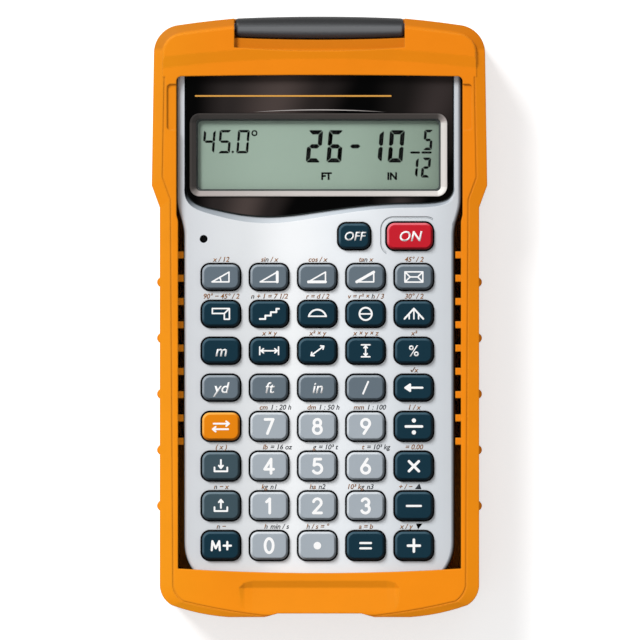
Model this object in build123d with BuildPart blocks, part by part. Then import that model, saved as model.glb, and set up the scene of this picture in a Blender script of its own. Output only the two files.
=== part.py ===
from build123d import *
import os

# A hand-held construction calculator in its rugged case, lying on its back.
# Millimetres. The keypad faces +Z, the display end points to +Y, and the back of the case rests at Z = 0.
# The case is built up around the calculator, so its outside follows the calculator's size and the walls.

# Calculator housing
waist_step = 3.3
calc_rear_depth = 6.8
calc_wall = 1.6
calc_face_thickness = 1.8
calc_edge_radius = 1.0
calc_top_corner_radius = 5.0
calc_bottom_corner_radius = 11.2
waist_fall = 2.1
waist_length = 5.5
waist_radius = 12.0

# Rugged case
display_side_clearance = 0.12
keypad_side_clearance = 1.4
end_clearance = 0.25
ledge_clearance = 0.1
display_side_wall = 5.78
keypad_side_wall = 4.25
bottom_wall = 6.05
case_floor = 2.0
back_hollow_depth = 2.2
ledge_thickness = 2.0
end_block_rise = 0.7
rim_run = 2.4
rim_fall = 0.9
rim_hip_rise = 1.9
rim_foot_run = 3.0
rim_heel_rise = 0.8
rim_heel_inset = 2.3
rim_heel_end_rise = 0.25
rim_heel_end_half = 13.2
rim_heel_radius = 150.0
rim_groove_width = 0.3
rim_groove_depth = 0.15
end_inset = 2.1
end_chamfer = 0.3
back_chamfer = 1.0
arch_drop = 2.4
arch_corner_inset = 6.5
shoulder_drop = 9.15
shoulder_inset = 0.5
shoulder_radius = 6.6
hip_rise = 4.65
hip_length = 5.2
heel_rise = 2.8
heel_inset = 2.8
foot_rise = 7.3
foot_radius = 5.6
heel_half_width = 21.3
heel_radius = 50.0
thumb_half_width = 9.8
thumb_run = 3.15
thumb_depth = 0.9
top_lip_cover = 7.0
top_lip_bow = 0.45
bottom_lip_cover = 5.05
bottom_lip_bow = 1.5
lip_corner_radius = 1.2
lip_flat = 2.6
lip_bow = 1.7
lip_slope = 2.6
cavity_corner_radius = 2.5
cavity_step_delay = 2.25
cavity_step_length = 1.5
scoop_half_width = 15.8
scoop_end_run = 3.1
scoop_flat = 1.0
scoop_wall = 1.7
scoop_depth = 0.9
scoop_edge_rise = 0.2
scoop_end_shares = [(0.0, 0.0, 1.0), (0.6, 0.28, 0.75), (1.0, 1.0, 0.0)]
overrun = 6.0

# Ribs inside the case and grip nubs outside it
rib_count = 9
rib_pitch = 5.475
rib_delay = 6.15
rib_width = 1.65
rib_clearance = 0.1
rib_top_drop = 2.6
nub_count = 5
nub_pitch = 13.15
nub_first_drop = 62.8
nub_radius = 1.2
nub_rise = 0.7
nub_start = 2.0
nub_top_drop = 3.6
wall_dimple_width = 2.2
wall_dimple_radius = 0.9
wall_dimple_length = 10.8
wall_dimple_drop = 14.2
wall_dimple_depth = 0.5

# Tilt stand and its notch in the top wall
notch_half_width = 20.0
notch_inner_wall = 1.45
notch_step = 2.62
notch_step_bow = 0.8
notch_step_fall = 0.6
stand_end_clearance = 0.2
barrel_radius = 2.6
barrel_end_radius = 2.15
barrel_clearance = 0.3
barrel_inset = 0.4
barrel_drop = 2.7
barrel_corner = 0.8
pin_radius = 1.0
pin_bore_clearance = 0.05
pin_seat_clearance = 0.02
pin_seat_depth = 3.0
stand_thickness = 1.8
stand_floor_gap = 0.25
stand_leg_inset = 2.6
stand_side_clearance = 0.6
stand_arm_clearance = 0.28
stand_length = 55.8
stand_tip_radius = 6.0
stand_pull_radius = 7.0
stand_hollow_inset = 3.6
stand_hollow_depth = 0.7

# Hollows between the raised bands on the back of the case
back_rail = 4.2
back_hollow_wall = 2.2
back_band = 5.0
back_hollow_radius = 2.0
back_upper_length = 40.0
back_lower_length = 12.0

# Battery, its door and the window in the case behind the door
cell_radius = 10.0
cell_thickness = 1.6
cell_clearance = 0.2
cell_rise = 26.45
door_end_margin = 2.0
door_side_margin = 3.0
door_clearance = 0.12
door_thickness = 1.5
door_corner_radius = 1.0
door_grip_length = 5.0
door_grip_depth = 0.6
door_tab_half_spacing = 8.0
door_tab_width = 4.0
door_tab_reach = 0.8
door_tab_thickness = 0.8
door_tab_gap = 0.05
tab_slot_margin = 0.5
well_wall = 2.0
well_roof = 1.0
window_side_margin = 1.0
window_hinge_margin = 0.5
window_grip_margin = 2.0
contact_leaf = 0.3
contact_width = 3.0
contact_thickness = 0.4
contact_slot_clearance = 0.15

# Display
panel_side_margin = 2.2
panel_thickness = 0.8
panel_top_drop = 3.0
panel_side_rise = 2.7
panel_under_frame = 4.6
panel_corner_radius = 3.0
panel_fit = 0.05
bevel_drop = 1.75
bevel_side = 0.4
frame_side_margin = 1.05
frame_height = 19.5
frame_corner_radius = 2.35
frame_rise = 0.45
frame_top_drop = 15.55
frame_centre_x = -0.25
frame_side_rim = 1.55
frame_end_rim = 1.325
window_corner_radius = 1.0
window_thickness = 0.5
window_fit = 0.05
window_seat = 0.4
frame_bevel_run = 1.0
frame_bevel_margin = 0.05
glass_side_overlap = 1.3
glass_end_overlap = 2.325
glass_thickness = 2.3
glass_gap = 0.1
strip_width = 1.8
strip_end_margin = 3.0
strip_inset = 0.4
panel_edge_shares = [
    (-1.0, 1.0), (-0.955, 0.49), (-0.815, 0.26), (-0.61, 0.08), (-0.383, 0.0),
    (0.0, 0.164), (0.387, 0.37), (0.62, 0.425), (0.86, 0.46), (0.965, 0.59), (1.0, 1.0),
]

# Circuit board and key mat
board_thickness = 1.2
board_rise = 4.7
board_side_margin = 2.55
board_top_drop = 11.15
board_boss_clearance = 0.05
board_corner_radius = 2.0
post_radius = 1.5
post_inset = 3.8
mat_thickness = 0.8
mat_boss_clearance = 0.15
dome_height = 2.35
dome_tip_radius = 2.0
dome_gap = 0.05
chip_radius = 4.5
chip_height = 1.2
chip_corner = 0.5

# Keys
keypad_centre_x = -0.49
keypad_side_margin = 4.69
keypad_end_margin = 7.125
key_width = 9.0
upper_key_height = 6.05
lower_key_height = 6.75
key_spacing = 2.33
upper_row_spacing = 2.617
lower_row_spacing = 2.583
frame_to_power_row = 9.35
power_row_to_upper_rows = 9.6
upper_to_lower_rows = 9.1
off_key_width = 7.5
off_key_height = 6.1
on_key_width = 10.9
on_key_height = 6.4
power_key_spacing = 3.85
key_corner_radius = 1.9
key_rise = 1.4
key_edge = 0.55
key_edge_radius = 0.2
key_gap = 0.3
key_flange = 0.8
key_flange_thickness = 1.4
key_stop_gap = 0.1
groove_offset = 0.75
groove_width = 0.35
groove_depth = 0.2

# Reset button
reset_inset = 0.45
reset_fall = 0.65
reset_hole_radius = 0.9
reset_pin_radius = 0.7
reset_flange_radius = 1.8
reset_sink = 0.9

# Housing screws
screw_radius = 0.95
screw_clearance = 0.05
screw_head_radius = 1.8
screw_head_height = 1.2
screw_head_clearance = 0.1
screw_length = 9.6
screw_bore_extra = 0.6
screw_slot_width = 0.5
screw_slot_depth = 0.6
boss_radius = 2.1
boss_glass_clearance = 0.35
boss_key_clearance = 0.225
top_boss_inset = 5.2
top_boss_drop = 6.65
middle_boss_inset = 4.35
bottom_boss_inset = 11.85

# The key names in their rows, left to right.
function_rows = [
    ["pitch", "rise", "run", "diagonal", "hip_valley"],
    ["compound_miter", "stair", "arc", "circle", "jack"],
    ["metre", "length", "width", "height", "percent"],
    ["yards", "feet", "inches", "fraction", "backspace"],
]
number_rows = [
    ["convert", "7", "8", "9", "divide"],
    ["store", "4", "5", "6", "times"],
    ["recall", "1", "2", "3", "minus"],
    ["memory_add", "0", "point", "equals", "plus"],
]

# Places worked out from the sizes above
key_pitch = key_width + key_spacing
upper_row_pitch = upper_key_height + upper_row_spacing
lower_row_pitch = lower_key_height + lower_row_spacing
keypad_half = ((len(function_rows[0]) - 1) * key_pitch + key_width) / 2
frame_low_drop = frame_top_drop + frame_height
waist_start_drop = frame_low_drop + waist_fall
power_row_drop = frame_low_drop + frame_to_power_row
upper_row_drop = power_row_drop + power_row_to_upper_rows
lower_row_drop = upper_row_drop + (len(function_rows) - 1) * upper_row_pitch + upper_to_lower_rows
keypad_end_drop = lower_row_drop + (len(number_rows) - 1) * lower_row_pitch + lower_key_height / 2
calc_length = keypad_end_drop + keypad_end_margin
calc_keypad_half = keypad_half + keypad_side_margin
calc_display_half = calc_keypad_half + waist_step / 2
calc_back_z = back_hollow_depth + case_floor
rear_floor_z = calc_back_z + calc_wall
board_z = rear_floor_z + board_rise
board_top_z = board_z + board_thickness
mat_top_z = board_top_z + mat_thickness
dome_top_z = mat_top_z + dome_height
flange_bottom_z = dome_top_z + dome_gap
flange_top_z = flange_bottom_z + key_flange_thickness
face_under_z = flange_top_z + key_stop_gap
face_z = face_under_z + calc_face_thickness
top_wall = notch_inner_wall + barrel_clearance + 2 * barrel_radius + barrel_inset
case_length = calc_length + 2 * end_clearance + top_wall + bottom_wall
case_bottom = (barrel_inset - case_length) / 2
case_top = case_bottom + case_length
calc_top = case_top - top_wall - end_clearance
calc_bottom = calc_top - calc_length
cavity_top = calc_top + end_clearance
cavity_bottom = calc_bottom - end_clearance
cavity_display_half = calc_display_half + display_side_clearance
cavity_keypad_half = calc_keypad_half + keypad_side_clearance
case_half = cavity_display_half + display_side_wall
waist_half = cavity_keypad_half + keypad_side_wall
parting_z = calc_back_z + calc_rear_depth
ledge_under_z = face_z + ledge_clearance
rim_z = ledge_under_z + ledge_thickness
end_z = rim_z + end_block_rise
top_lip_y = cavity_top - top_lip_cover - end_clearance
bottom_lip_y = cavity_bottom + bottom_lip_cover
crease_y = top_lip_y + lip_flat
hip_y = calc_top - waist_start_drop + hip_rise
notch_y = cavity_top + notch_inner_wall
hinge_y = notch_y + barrel_clearance + barrel_radius
hinge_z = end_z - barrel_drop
stand_half_width = notch_half_width - stand_leg_inset
arm_notch_y = hinge_y - stand_thickness - stand_arm_clearance
barrel_floor_z = hinge_z - barrel_radius - barrel_clearance
back_hollow_inner = stand_half_width + stand_side_clearance + back_rail
key_top_z = face_z + key_rise
recess_z = face_z - panel_thickness
frame_y = calc_top - frame_low_drop + frame_height / 2
panel_half = calc_display_half - panel_side_margin
frame_width = 2 * (panel_half - frame_side_margin)
window_width = frame_width - 2 * frame_side_rim
window_height = frame_height - 2 * frame_end_rim
glass_width = window_width + 2 * glass_side_overlap
glass_height = window_height + 2 * glass_end_overlap
glass_top_z = face_under_z - glass_gap
glass_bottom_z = glass_top_z - glass_thickness
cell_y = calc_bottom + cell_rise
door_length = 2 * (cell_radius + door_end_margin)
door_width = 2 * (cell_radius + door_side_margin)
door_hinge_y = cell_y + door_length / 2
door_end_y = cell_y - door_length / 2
door_inner_z = calc_back_z + door_thickness
door_axis_y = door_hinge_y - door_thickness / 2
door_axis_z = calc_back_z + door_thickness / 2
cell_z = rear_floor_z + cell_clearance
cell_top_z = cell_z + cell_thickness
well_top_z = cell_top_z + contact_leaf + well_roof
power_row_y = calc_top - power_row_drop
upper_row_y = calc_top - upper_row_drop
lower_row_y = calc_top - lower_row_drop
on_key_x = keypad_centre_x + keypad_half - on_key_width / 2
off_key_x = on_key_x - on_key_width / 2 - power_key_spacing - off_key_width / 2
reset_x = keypad_centre_x - keypad_half + reset_inset
reset_y = power_row_y - reset_fall
middle_boss_y = frame_y - glass_height / 2 - boss_glass_clearance - boss_radius
bottom_boss_y = calc_top - keypad_end_drop - key_flange - boss_key_clearance - boss_radius
mat_top_y = middle_boss_y - boss_radius - mat_boss_clearance
board_width = 2 * (calc_keypad_half - board_side_margin)
board_top_y = calc_top - board_top_drop
board_bottom_y = bottom_boss_y + boss_radius + board_boss_clearance
boss_points = [
    (side * x, y)
    for x, y in [
        (calc_display_half - top_boss_inset, calc_top - top_boss_drop),
        (calc_keypad_half - middle_boss_inset, middle_boss_y),
        (calc_keypad_half - bottom_boss_inset, bottom_boss_y),
    ]
    for side in (-1, 1)
]


# Each key's name, centre and size.
keys = [
    ("off", off_key_x, power_row_y, off_key_width, off_key_height),
    ("on", on_key_x, power_row_y, on_key_width, on_key_height),
]
for rows, first_y, pitch, height in [
    (function_rows, upper_row_y, upper_row_pitch, upper_key_height),
    (number_rows, lower_row_y, lower_row_pitch, lower_key_height),
]:
    for row, names in enumerate(rows):
        for column, key in enumerate(names):
            key_x = keypad_centre_x + (column - (len(names) - 1) / 2) * key_pitch
            keys.append((key, key_x, first_y - row * pitch, key_width, height))


def finish(part, name, tint):
    """Label a finished piece, tint it and write it out."""
    part.label = name
    part.color = Color(*tint)
    export_step(part, f"parts/{name}.step")


orange = (0.95, 0.55, 0.08)
dark = (0.22, 0.23, 0.25)
silver = (0.82, 0.84, 0.86)
steel = (0.62, 0.63, 0.65)
black = (0.06, 0.06, 0.07)


def case_outline():
    """Outline of the case: arched top, wide display part, waist, and rounded lower corners."""
    with BuildSketch() as outline:
        with BuildLine():
            arch_end = (case_half - arch_corner_inset, case_top - arch_drop)
            shoulder = (case_half - shoulder_inset, case_top - shoulder_drop)
            hip = (case_half, hip_y)
            waist = (waist_half, hip_y - hip_length)
            foot = (waist_half, case_bottom + foot_rise)
            heel = (waist_half - heel_inset, case_bottom + heel_rise)
            heel_end = (heel_half_width, case_bottom)
            TangentArc((0, case_top), arch_end, tangent=(1, 0))
            RadiusArc(arch_end, shoulder, shoulder_radius)
            Polyline(shoulder, hip, waist, foot)
            RadiusArc(foot, heel, foot_radius)
            RadiusArc(heel, heel_end, heel_radius)
            Line(heel_end, (0, case_bottom))
            mirror(about=Plane.YZ)
        make_face()
    return outline.sketch


def rim_outline(inset):
    """Upper end of the case's sloped rim, drawn in further by the inset."""
    side = rim_run + inset
    with BuildSketch() as outline:
        with BuildLine():
            arch_end = (case_half - side - arch_corner_inset, case_top - side - arch_drop)
            shoulder = (case_half - side - shoulder_inset, case_top - side - shoulder_drop)
            hip = (case_half - side, hip_y + rim_hip_rise)
            waist = (waist_half - side, hip_y + rim_hip_rise - hip_length)
            foot = (waist_half - rim_foot_run - inset, case_bottom + foot_rise)
            heel = (foot[0] - rim_heel_inset, case_bottom + heel_rise + rim_heel_rise + inset)
            heel_end = (rim_heel_end_half, case_bottom + rim_heel_end_rise + inset)
            TangentArc((0, case_top - side), arch_end, tangent=(1, 0))
            RadiusArc(arch_end, shoulder, shoulder_radius)
            Polyline(shoulder, hip, waist, foot)
            RadiusArc(foot, heel, foot_radius)
            RadiusArc(heel, heel_end, rim_heel_radius)
            Line(heel_end, (0, heel_end[1]))
            mirror(about=Plane.YZ)
        make_face()
    return outline.sketch


def case_layer(inset):
    """Case outline drawn in by the inset, for the sloped back edge and the raised top end."""
    with BuildSketch() as layer:
        add(case_outline())
        offset(amount=-inset, kind=Kind.INTERSECTION, mode=Mode.REPLACE)
    return layer.sketch


def calculator_outline():
    """Outline of the calculator: wide display part, then a slightly narrower keypad part."""
    waist_top = calc_top - waist_start_drop
    waist_end = waist_top - waist_length
    with BuildSketch() as outline:
        with BuildLine():
            FilletPolyline(
                (-calc_display_half, calc_top),
                (calc_display_half, calc_top),
                (calc_display_half, waist_top),
                (calc_keypad_half, waist_end),
                (calc_keypad_half, calc_bottom),
                (-calc_keypad_half, calc_bottom),
                (-calc_keypad_half, waist_end),
                (-calc_display_half, waist_top),
                radius=[
                    calc_top_corner_radius,
                    calc_top_corner_radius,
                    waist_radius,
                    waist_radius,
                    calc_bottom_corner_radius,
                    calc_bottom_corner_radius,
                    waist_radius,
                    waist_radius,
                ],
                close=True,
            )
        make_face()
    return outline.sketch


def cavity_outline():
    """Hollow of the case that the calculator lies in."""
    step_top = calc_top - waist_start_drop - cavity_step_delay
    step_end = step_top - cavity_step_length
    top_radius = calc_top_corner_radius + end_clearance
    with BuildSketch() as outline:
        with BuildLine():
            FilletPolyline(
                (-cavity_display_half, cavity_top),
                (cavity_display_half, cavity_top),
                (cavity_display_half, step_top),
                (cavity_keypad_half, step_end),
                (cavity_keypad_half, cavity_bottom),
                (-cavity_keypad_half, cavity_bottom),
                (-cavity_keypad_half, step_end),
                (-cavity_display_half, step_top),
                radius=[
                    top_radius,
                    top_radius,
                    lip_corner_radius,
                    lip_corner_radius,
                    cavity_corner_radius,
                    cavity_corner_radius,
                    lip_corner_radius,
                    lip_corner_radius,
                ],
                close=True,
            )
        make_face()
    return outline.sketch


def rounded_block(x, y, width, height, radius):
    """Rounded rectangle centred on x, y."""
    with BuildSketch() as block:
        with Locations((x, y)):
            RectangleRounded(width, height, radius)
    return block.sketch


def door_outline(hinge_end_y, clearance):
    """Battery door or its opening: square at the hinge end, rounded at the other."""
    with BuildSketch() as outline:
        with Locations((0, hinge_end_y)):
            Rectangle(
                door_width + 2 * clearance,
                hinge_end_y - door_end_y + clearance,
                align=(Align.CENTER, Align.MAX),
            )
        fillet(outline.vertices().group_by(Axis.Y)[0], radius=door_corner_radius + clearance)
    return outline.sketch


def panel_outline(half_width, low_y, side_y):
    """Display panel: straight sides and a lower edge that dips left of the middle."""
    dip = side_y - low_y
    edge_points = [(half_width * across, low_y + dip * up) for across, up in panel_edge_shares]
    panel_top = calc_top - panel_top_drop
    with BuildSketch() as outline:
        with BuildLine():
            Spline(*edge_points)
            Polyline(
                edge_points[-1],
                (half_width, panel_top),
                (-half_width, panel_top),
                edge_points[0],
            )
        make_face()
        fillet(outline.vertices().group_by(Axis.Y)[-1], radius=panel_corner_radius)
    return outline.sketch


# Rugged case: one moulding with ledges over both ends of the calculator.
with BuildPart() as case_end:
    with BuildSketch(Plane.XY.offset(calc_back_z)):
        add(case_layer(end_inset))
        with BuildLine():
            Polyline(
                (-case_half - overrun, case_top + overrun),
                (case_half + overrun, case_top + overrun),
                (case_half + overrun, top_lip_y),
                (-case_half - overrun, top_lip_y),
                close=True,
            )
        make_face(mode=Mode.INTERSECT)
    extrude(amount=end_z - calc_back_z)
    end_edges = case_end.edges().filter_by_position(Axis.Z, end_z, end_z)
    chamfer(end_edges.filter_by_position(Axis.Y, top_lip_y + lip_slope, case_top), length=end_chamfer)
    slope_run = lip_slope * (1 + overrun / end_block_rise)
    for z, y in [(rim_z, crease_y), (end_z + overrun, crease_y + slope_run)]:
        with BuildSketch(Plane.XY.offset(z)):
            with BuildLine():
                ThreePointArc(
                    (-case_half - overrun, y - lip_bow),
                    (0, y + lip_bow),
                    (case_half + overrun, y - lip_bow),
                )
                Polyline(
                    (case_half + overrun, y - lip_bow),
                    (case_half + overrun, top_lip_y - overrun),
                    (-case_half - overrun, top_lip_y - overrun),
                    (-case_half - overrun, y - lip_bow),
                )
            make_face()
    loft(ruled=True, mode=Mode.SUBTRACT)

with BuildPart() as case_shell:
    with BuildSketch(Plane.XY.offset(back_chamfer)):
        add(case_outline())
    extrude(amount=rim_z - rim_fall - back_chamfer)
    for edge_z, flat_z, flat in [
        (back_chamfer, 0, case_layer(back_chamfer)),
        (rim_z - rim_fall, rim_z, rim_outline(0)),
    ]:
        with BuildSketch(Plane.XY.offset(edge_z)):
            add(case_outline())
        with BuildSketch(Plane.XY.offset(flat_z)):
            add(flat)
        loft(ruled=True)
    # fine groove along the upper end of the sloped rim
    with BuildSketch(Plane.XY.offset(rim_z)):
        add(rim_outline(0))
        add(rim_outline(rim_groove_width), mode=Mode.SUBTRACT)
    extrude(amount=-rim_groove_depth, mode=Mode.SUBTRACT)
    add(case_end.part)

    # thumb recess in the lower edge
    with BuildSketch():
        with BuildLine():
            Polyline(
                (-thumb_half_width - thumb_run, case_bottom),
                (-thumb_half_width, case_bottom + thumb_depth),
                (thumb_half_width, case_bottom + thumb_depth),
                (thumb_half_width + thumb_run, case_bottom),
                close=True,
            )
        make_face()
    extrude(amount=end_z, mode=Mode.SUBTRACT)

    # hollow for the calculator, and the front opening between the two lips
    with BuildSketch(Plane.XY.offset(calc_back_z)):
        add(cavity_outline())
    extrude(amount=ledge_under_z - calc_back_z, mode=Mode.SUBTRACT)
    with BuildSketch(Plane.XY.offset(ledge_under_z)) as opening:
        add(cavity_outline())
        with BuildLine():
            lip_low = bottom_lip_y - bottom_lip_bow / 2
            Line((-case_half, lip_low + bottom_lip_bow), (-case_half, top_lip_y))
            ThreePointArc((-case_half, top_lip_y), (0, top_lip_y + top_lip_bow), (case_half, top_lip_y))
            Line((case_half, top_lip_y), (case_half, lip_low + bottom_lip_bow))
            ThreePointArc(
                (case_half, lip_low + bottom_lip_bow),
                (0, lip_low),
                (-case_half, lip_low + bottom_lip_bow),
            )
        make_face(mode=Mode.INTERSECT)
        fillet(opening.vertices().group_by(Axis.Y)[-1], radius=lip_corner_radius)
    extrude(amount=ledge_thickness + end_block_rise + overrun, mode=Mode.SUBTRACT)

    # notch for the stand's arm
    with BuildSketch():
        with Locations((0, arm_notch_y)):
            Rectangle(
                2 * (stand_half_width + stand_side_clearance),
                top_wall + overrun,
                align=(Align.CENTER, Align.MIN),
            )
    extrude(amount=end_z + overrun, mode=Mode.SUBTRACT)

    # pocket for its barrel, and a shallow step on the pocket's inner side, both bowed like the barrel
    for floor_z, low_y, bow in [
        (barrel_floor_z, notch_y, barrel_radius - barrel_end_radius),
        (rim_z - notch_step_fall, notch_y - notch_step, notch_step_bow),
    ]:
        with BuildSketch(Plane.XY.offset(floor_z)):
            with BuildLine():
                ThreePointArc(
                    (-notch_half_width, low_y + bow),
                    (0, low_y),
                    (notch_half_width, low_y + bow),
                )
                Polyline(
                    (notch_half_width, low_y + bow),
                    (notch_half_width, case_top + overrun),
                    (-notch_half_width, case_top + overrun),
                    (-notch_half_width, low_y + bow),
                )
            make_face()
        extrude(amount=end_z + overrun, mode=Mode.SUBTRACT)

    # thumb scoop in the lower ledge: steep towards the keys, its floor rising to the rim at the other sides
    scoop_y = bottom_lip_y - bottom_lip_bow - scoop_flat
    scoop_sections = [
        (side * (scoop_half_width + scoop_end_run * run), scoop_wall * fall, depth)
        for side, shares in [(-1, reversed(scoop_end_shares)), (1, scoop_end_shares)]
        for run, fall, depth in shares
    ]
    for section_x, fall, share in scoop_sections:
        with BuildSketch(Plane.YZ.offset(section_x)):
            with BuildLine():
                Polyline(
                    (scoop_y - fall + scoop_wall, rim_z + scoop_depth),
                    (scoop_y - fall - scoop_wall * share, rim_z - scoop_depth * share),
                    (case_bottom, rim_z + scoop_edge_rise),
                    (case_bottom, rim_z + scoop_depth),
                    close=True,
                )
            make_face()
    loft(ruled=True, mode=Mode.SUBTRACT)

    # recess for the folded stand, with a thumb pull past its tip
    with BuildSketch():
        with Locations((0, hinge_y - stand_length - stand_side_clearance)):
            Rectangle(
                2 * (stand_half_width + stand_side_clearance),
                stand_length + stand_side_clearance + overrun,
                align=(Align.CENTER, Align.MIN),
            )
            Circle(stand_pull_radius)
    extrude(amount=back_hollow_depth, mode=Mode.SUBTRACT)

    # window behind the battery door
    with BuildSketch():
        with Locations((0, door_hinge_y + window_hinge_margin)):
            Rectangle(
                door_width + 2 * window_side_margin,
                door_length + window_hinge_margin + window_grip_margin,
                align=(Align.CENTER, Align.MAX),
            )
    extrude(amount=calc_back_z, mode=Mode.SUBTRACT)

    # hollows between the raised bands of the back
    hollow_width = waist_half - back_hollow_wall - back_hollow_inner
    hollow_x = back_hollow_inner + hollow_width / 2
    first_band_y = case_top - nub_first_drop
    last_band_y = first_band_y - (nub_count - 1) * nub_pitch
    hollow_length = nub_pitch - back_band
    hollows = [(first_band_y - (band + 0.5) * nub_pitch, hollow_length) for band in range(nub_count - 1)]
    hollows.append((first_band_y + (back_band + back_upper_length) / 2, back_upper_length))
    hollows.append((last_band_y - (back_band + back_lower_length) / 2, back_lower_length))
    with BuildSketch():
        for hollow_y, length in hollows:
            with Locations((-hollow_x, hollow_y), (hollow_x, hollow_y)):
                RectangleRounded(hollow_width, length, back_hollow_radius)
    extrude(amount=back_hollow_depth / 2, mode=Mode.SUBTRACT)

    # shallow cut-backs in the side walls' rim beside the display
    with BuildSketch(Plane.XY.offset(rim_z)):
        dimple_y = top_lip_y - wall_dimple_drop / 2
        with Locations((-cavity_display_half, dimple_y), (cavity_display_half, dimple_y)):
            RectangleRounded(2 * wall_dimple_width, wall_dimple_length, wall_dimple_radius)
    extrude(amount=-wall_dimple_depth, mode=Mode.SUBTRACT)

    # ribs that centre the calculator's narrower keypad part
    rib_reach = keypad_side_clearance - rib_clearance
    rib_x = cavity_keypad_half - rib_reach / 2
    rib_first_y = calc_top - waist_start_drop - waist_length - rib_delay
    rib_places = [
        (side * rib_x, rib_first_y - rib * rib_pitch)
        for side in (-1, 1)
        for rib in range(rib_count)
    ]
    with BuildSketch(Plane.XY.offset(calc_back_z)):
        with Locations(*rib_places):
            Rectangle(rib_reach, rib_width)
    extrude(amount=rim_z - rib_top_drop - calc_back_z)

    # grip nubs down both sides
    nub_x = waist_half + nub_rise - nub_radius
    nub_places = [
        (side * nub_x, first_band_y - nub * nub_pitch)
        for side in (-1, 1)
        for nub in range(nub_count)
    ]
    with BuildSketch(Plane.XY.offset(nub_start)):
        with Locations(*nub_places):
            Circle(nub_radius)
    extrude(amount=rim_z - nub_top_drop - nub_start)

    # blind seats for the hinge pin in both ends of the notch
    with BuildSketch(Plane.YZ.offset(-notch_half_width - pin_seat_depth)):
        with Locations((hinge_y, hinge_z)):
            Circle(pin_radius + pin_seat_clearance)
    extrude(amount=2 * (notch_half_width + pin_seat_depth), mode=Mode.SUBTRACT)
finish(case_shell.part, "case_shell", orange)


# Tilt stand: a flat leg folded into the back, an arm through the notch, and a barrel on the steel pin.
barrel_half = notch_half_width - stand_end_clearance
stand_low_z = stand_floor_gap
stand_high_z = stand_low_z + stand_thickness
stand_tip_y = hinge_y - stand_length
arm_outer_y = hinge_y
with BuildPart() as tilt_stand:
    with BuildSketch(Plane.XY.offset(stand_low_z)):
        with Locations((0, stand_tip_y)):
            Rectangle(2 * stand_half_width, stand_length, align=(Align.CENTER, Align.MIN))
    extrude(amount=stand_thickness)
    fillet(tilt_stand.edges().filter_by(Axis.Z).group_by(Axis.Y)[0], radius=stand_tip_radius)
    with BuildSketch(Plane.XY.offset(stand_high_z)):
        with Locations((0, (stand_tip_y + notch_y) / 2)):
            RectangleRounded(
                2 * (stand_half_width - stand_hollow_inset),
                notch_y - stand_tip_y - 2 * stand_hollow_inset,
                stand_hollow_inset,
            )
    extrude(amount=-stand_hollow_depth, mode=Mode.SUBTRACT)
    with BuildSketch(Plane.XY.offset(stand_low_z)):
        with Locations((0, arm_outer_y)):
            Rectangle(2 * stand_half_width, stand_thickness, align=(Align.CENTER, Align.MAX))
    extrude(amount=hinge_z - stand_low_z)
    with BuildSketch(Plane.XY.offset(hinge_z)):
        with BuildLine():
            ThreePointArc(
                (-barrel_half, hinge_y + barrel_end_radius),
                (0, hinge_y + barrel_radius),
                (barrel_half, hinge_y + barrel_end_radius),
            )
            Polyline(
                (barrel_half, hinge_y + barrel_end_radius),
                (barrel_half, hinge_y),
                (-barrel_half, hinge_y),
                (-barrel_half, hinge_y + barrel_end_radius),
            )
        make_face()
    revolve(axis=Axis((0, hinge_y, hinge_z), (1, 0, 0)))
    barrel_ends = tilt_stand.edges().filter_by(GeomType.CIRCLE).group_by(Axis.X)
    fillet(barrel_ends[0] + barrel_ends[-1], radius=barrel_corner)
    with BuildSketch(Plane.YZ.offset(-barrel_half)):
        with Locations((hinge_y, hinge_z)):
            Circle(pin_radius + pin_bore_clearance)
    extrude(amount=2 * barrel_half, mode=Mode.SUBTRACT)
finish(tilt_stand.part, "tilt_stand", dark)

with BuildPart() as stand_pin:
    with BuildSketch(Plane.YZ.offset(-notch_half_width - pin_seat_depth)):
        with Locations((hinge_y, hinge_z)):
            Circle(pin_radius)
    extrude(amount=2 * (notch_half_width + pin_seat_depth))
finish(stand_pin.part, "stand_pin", steel)


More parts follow.
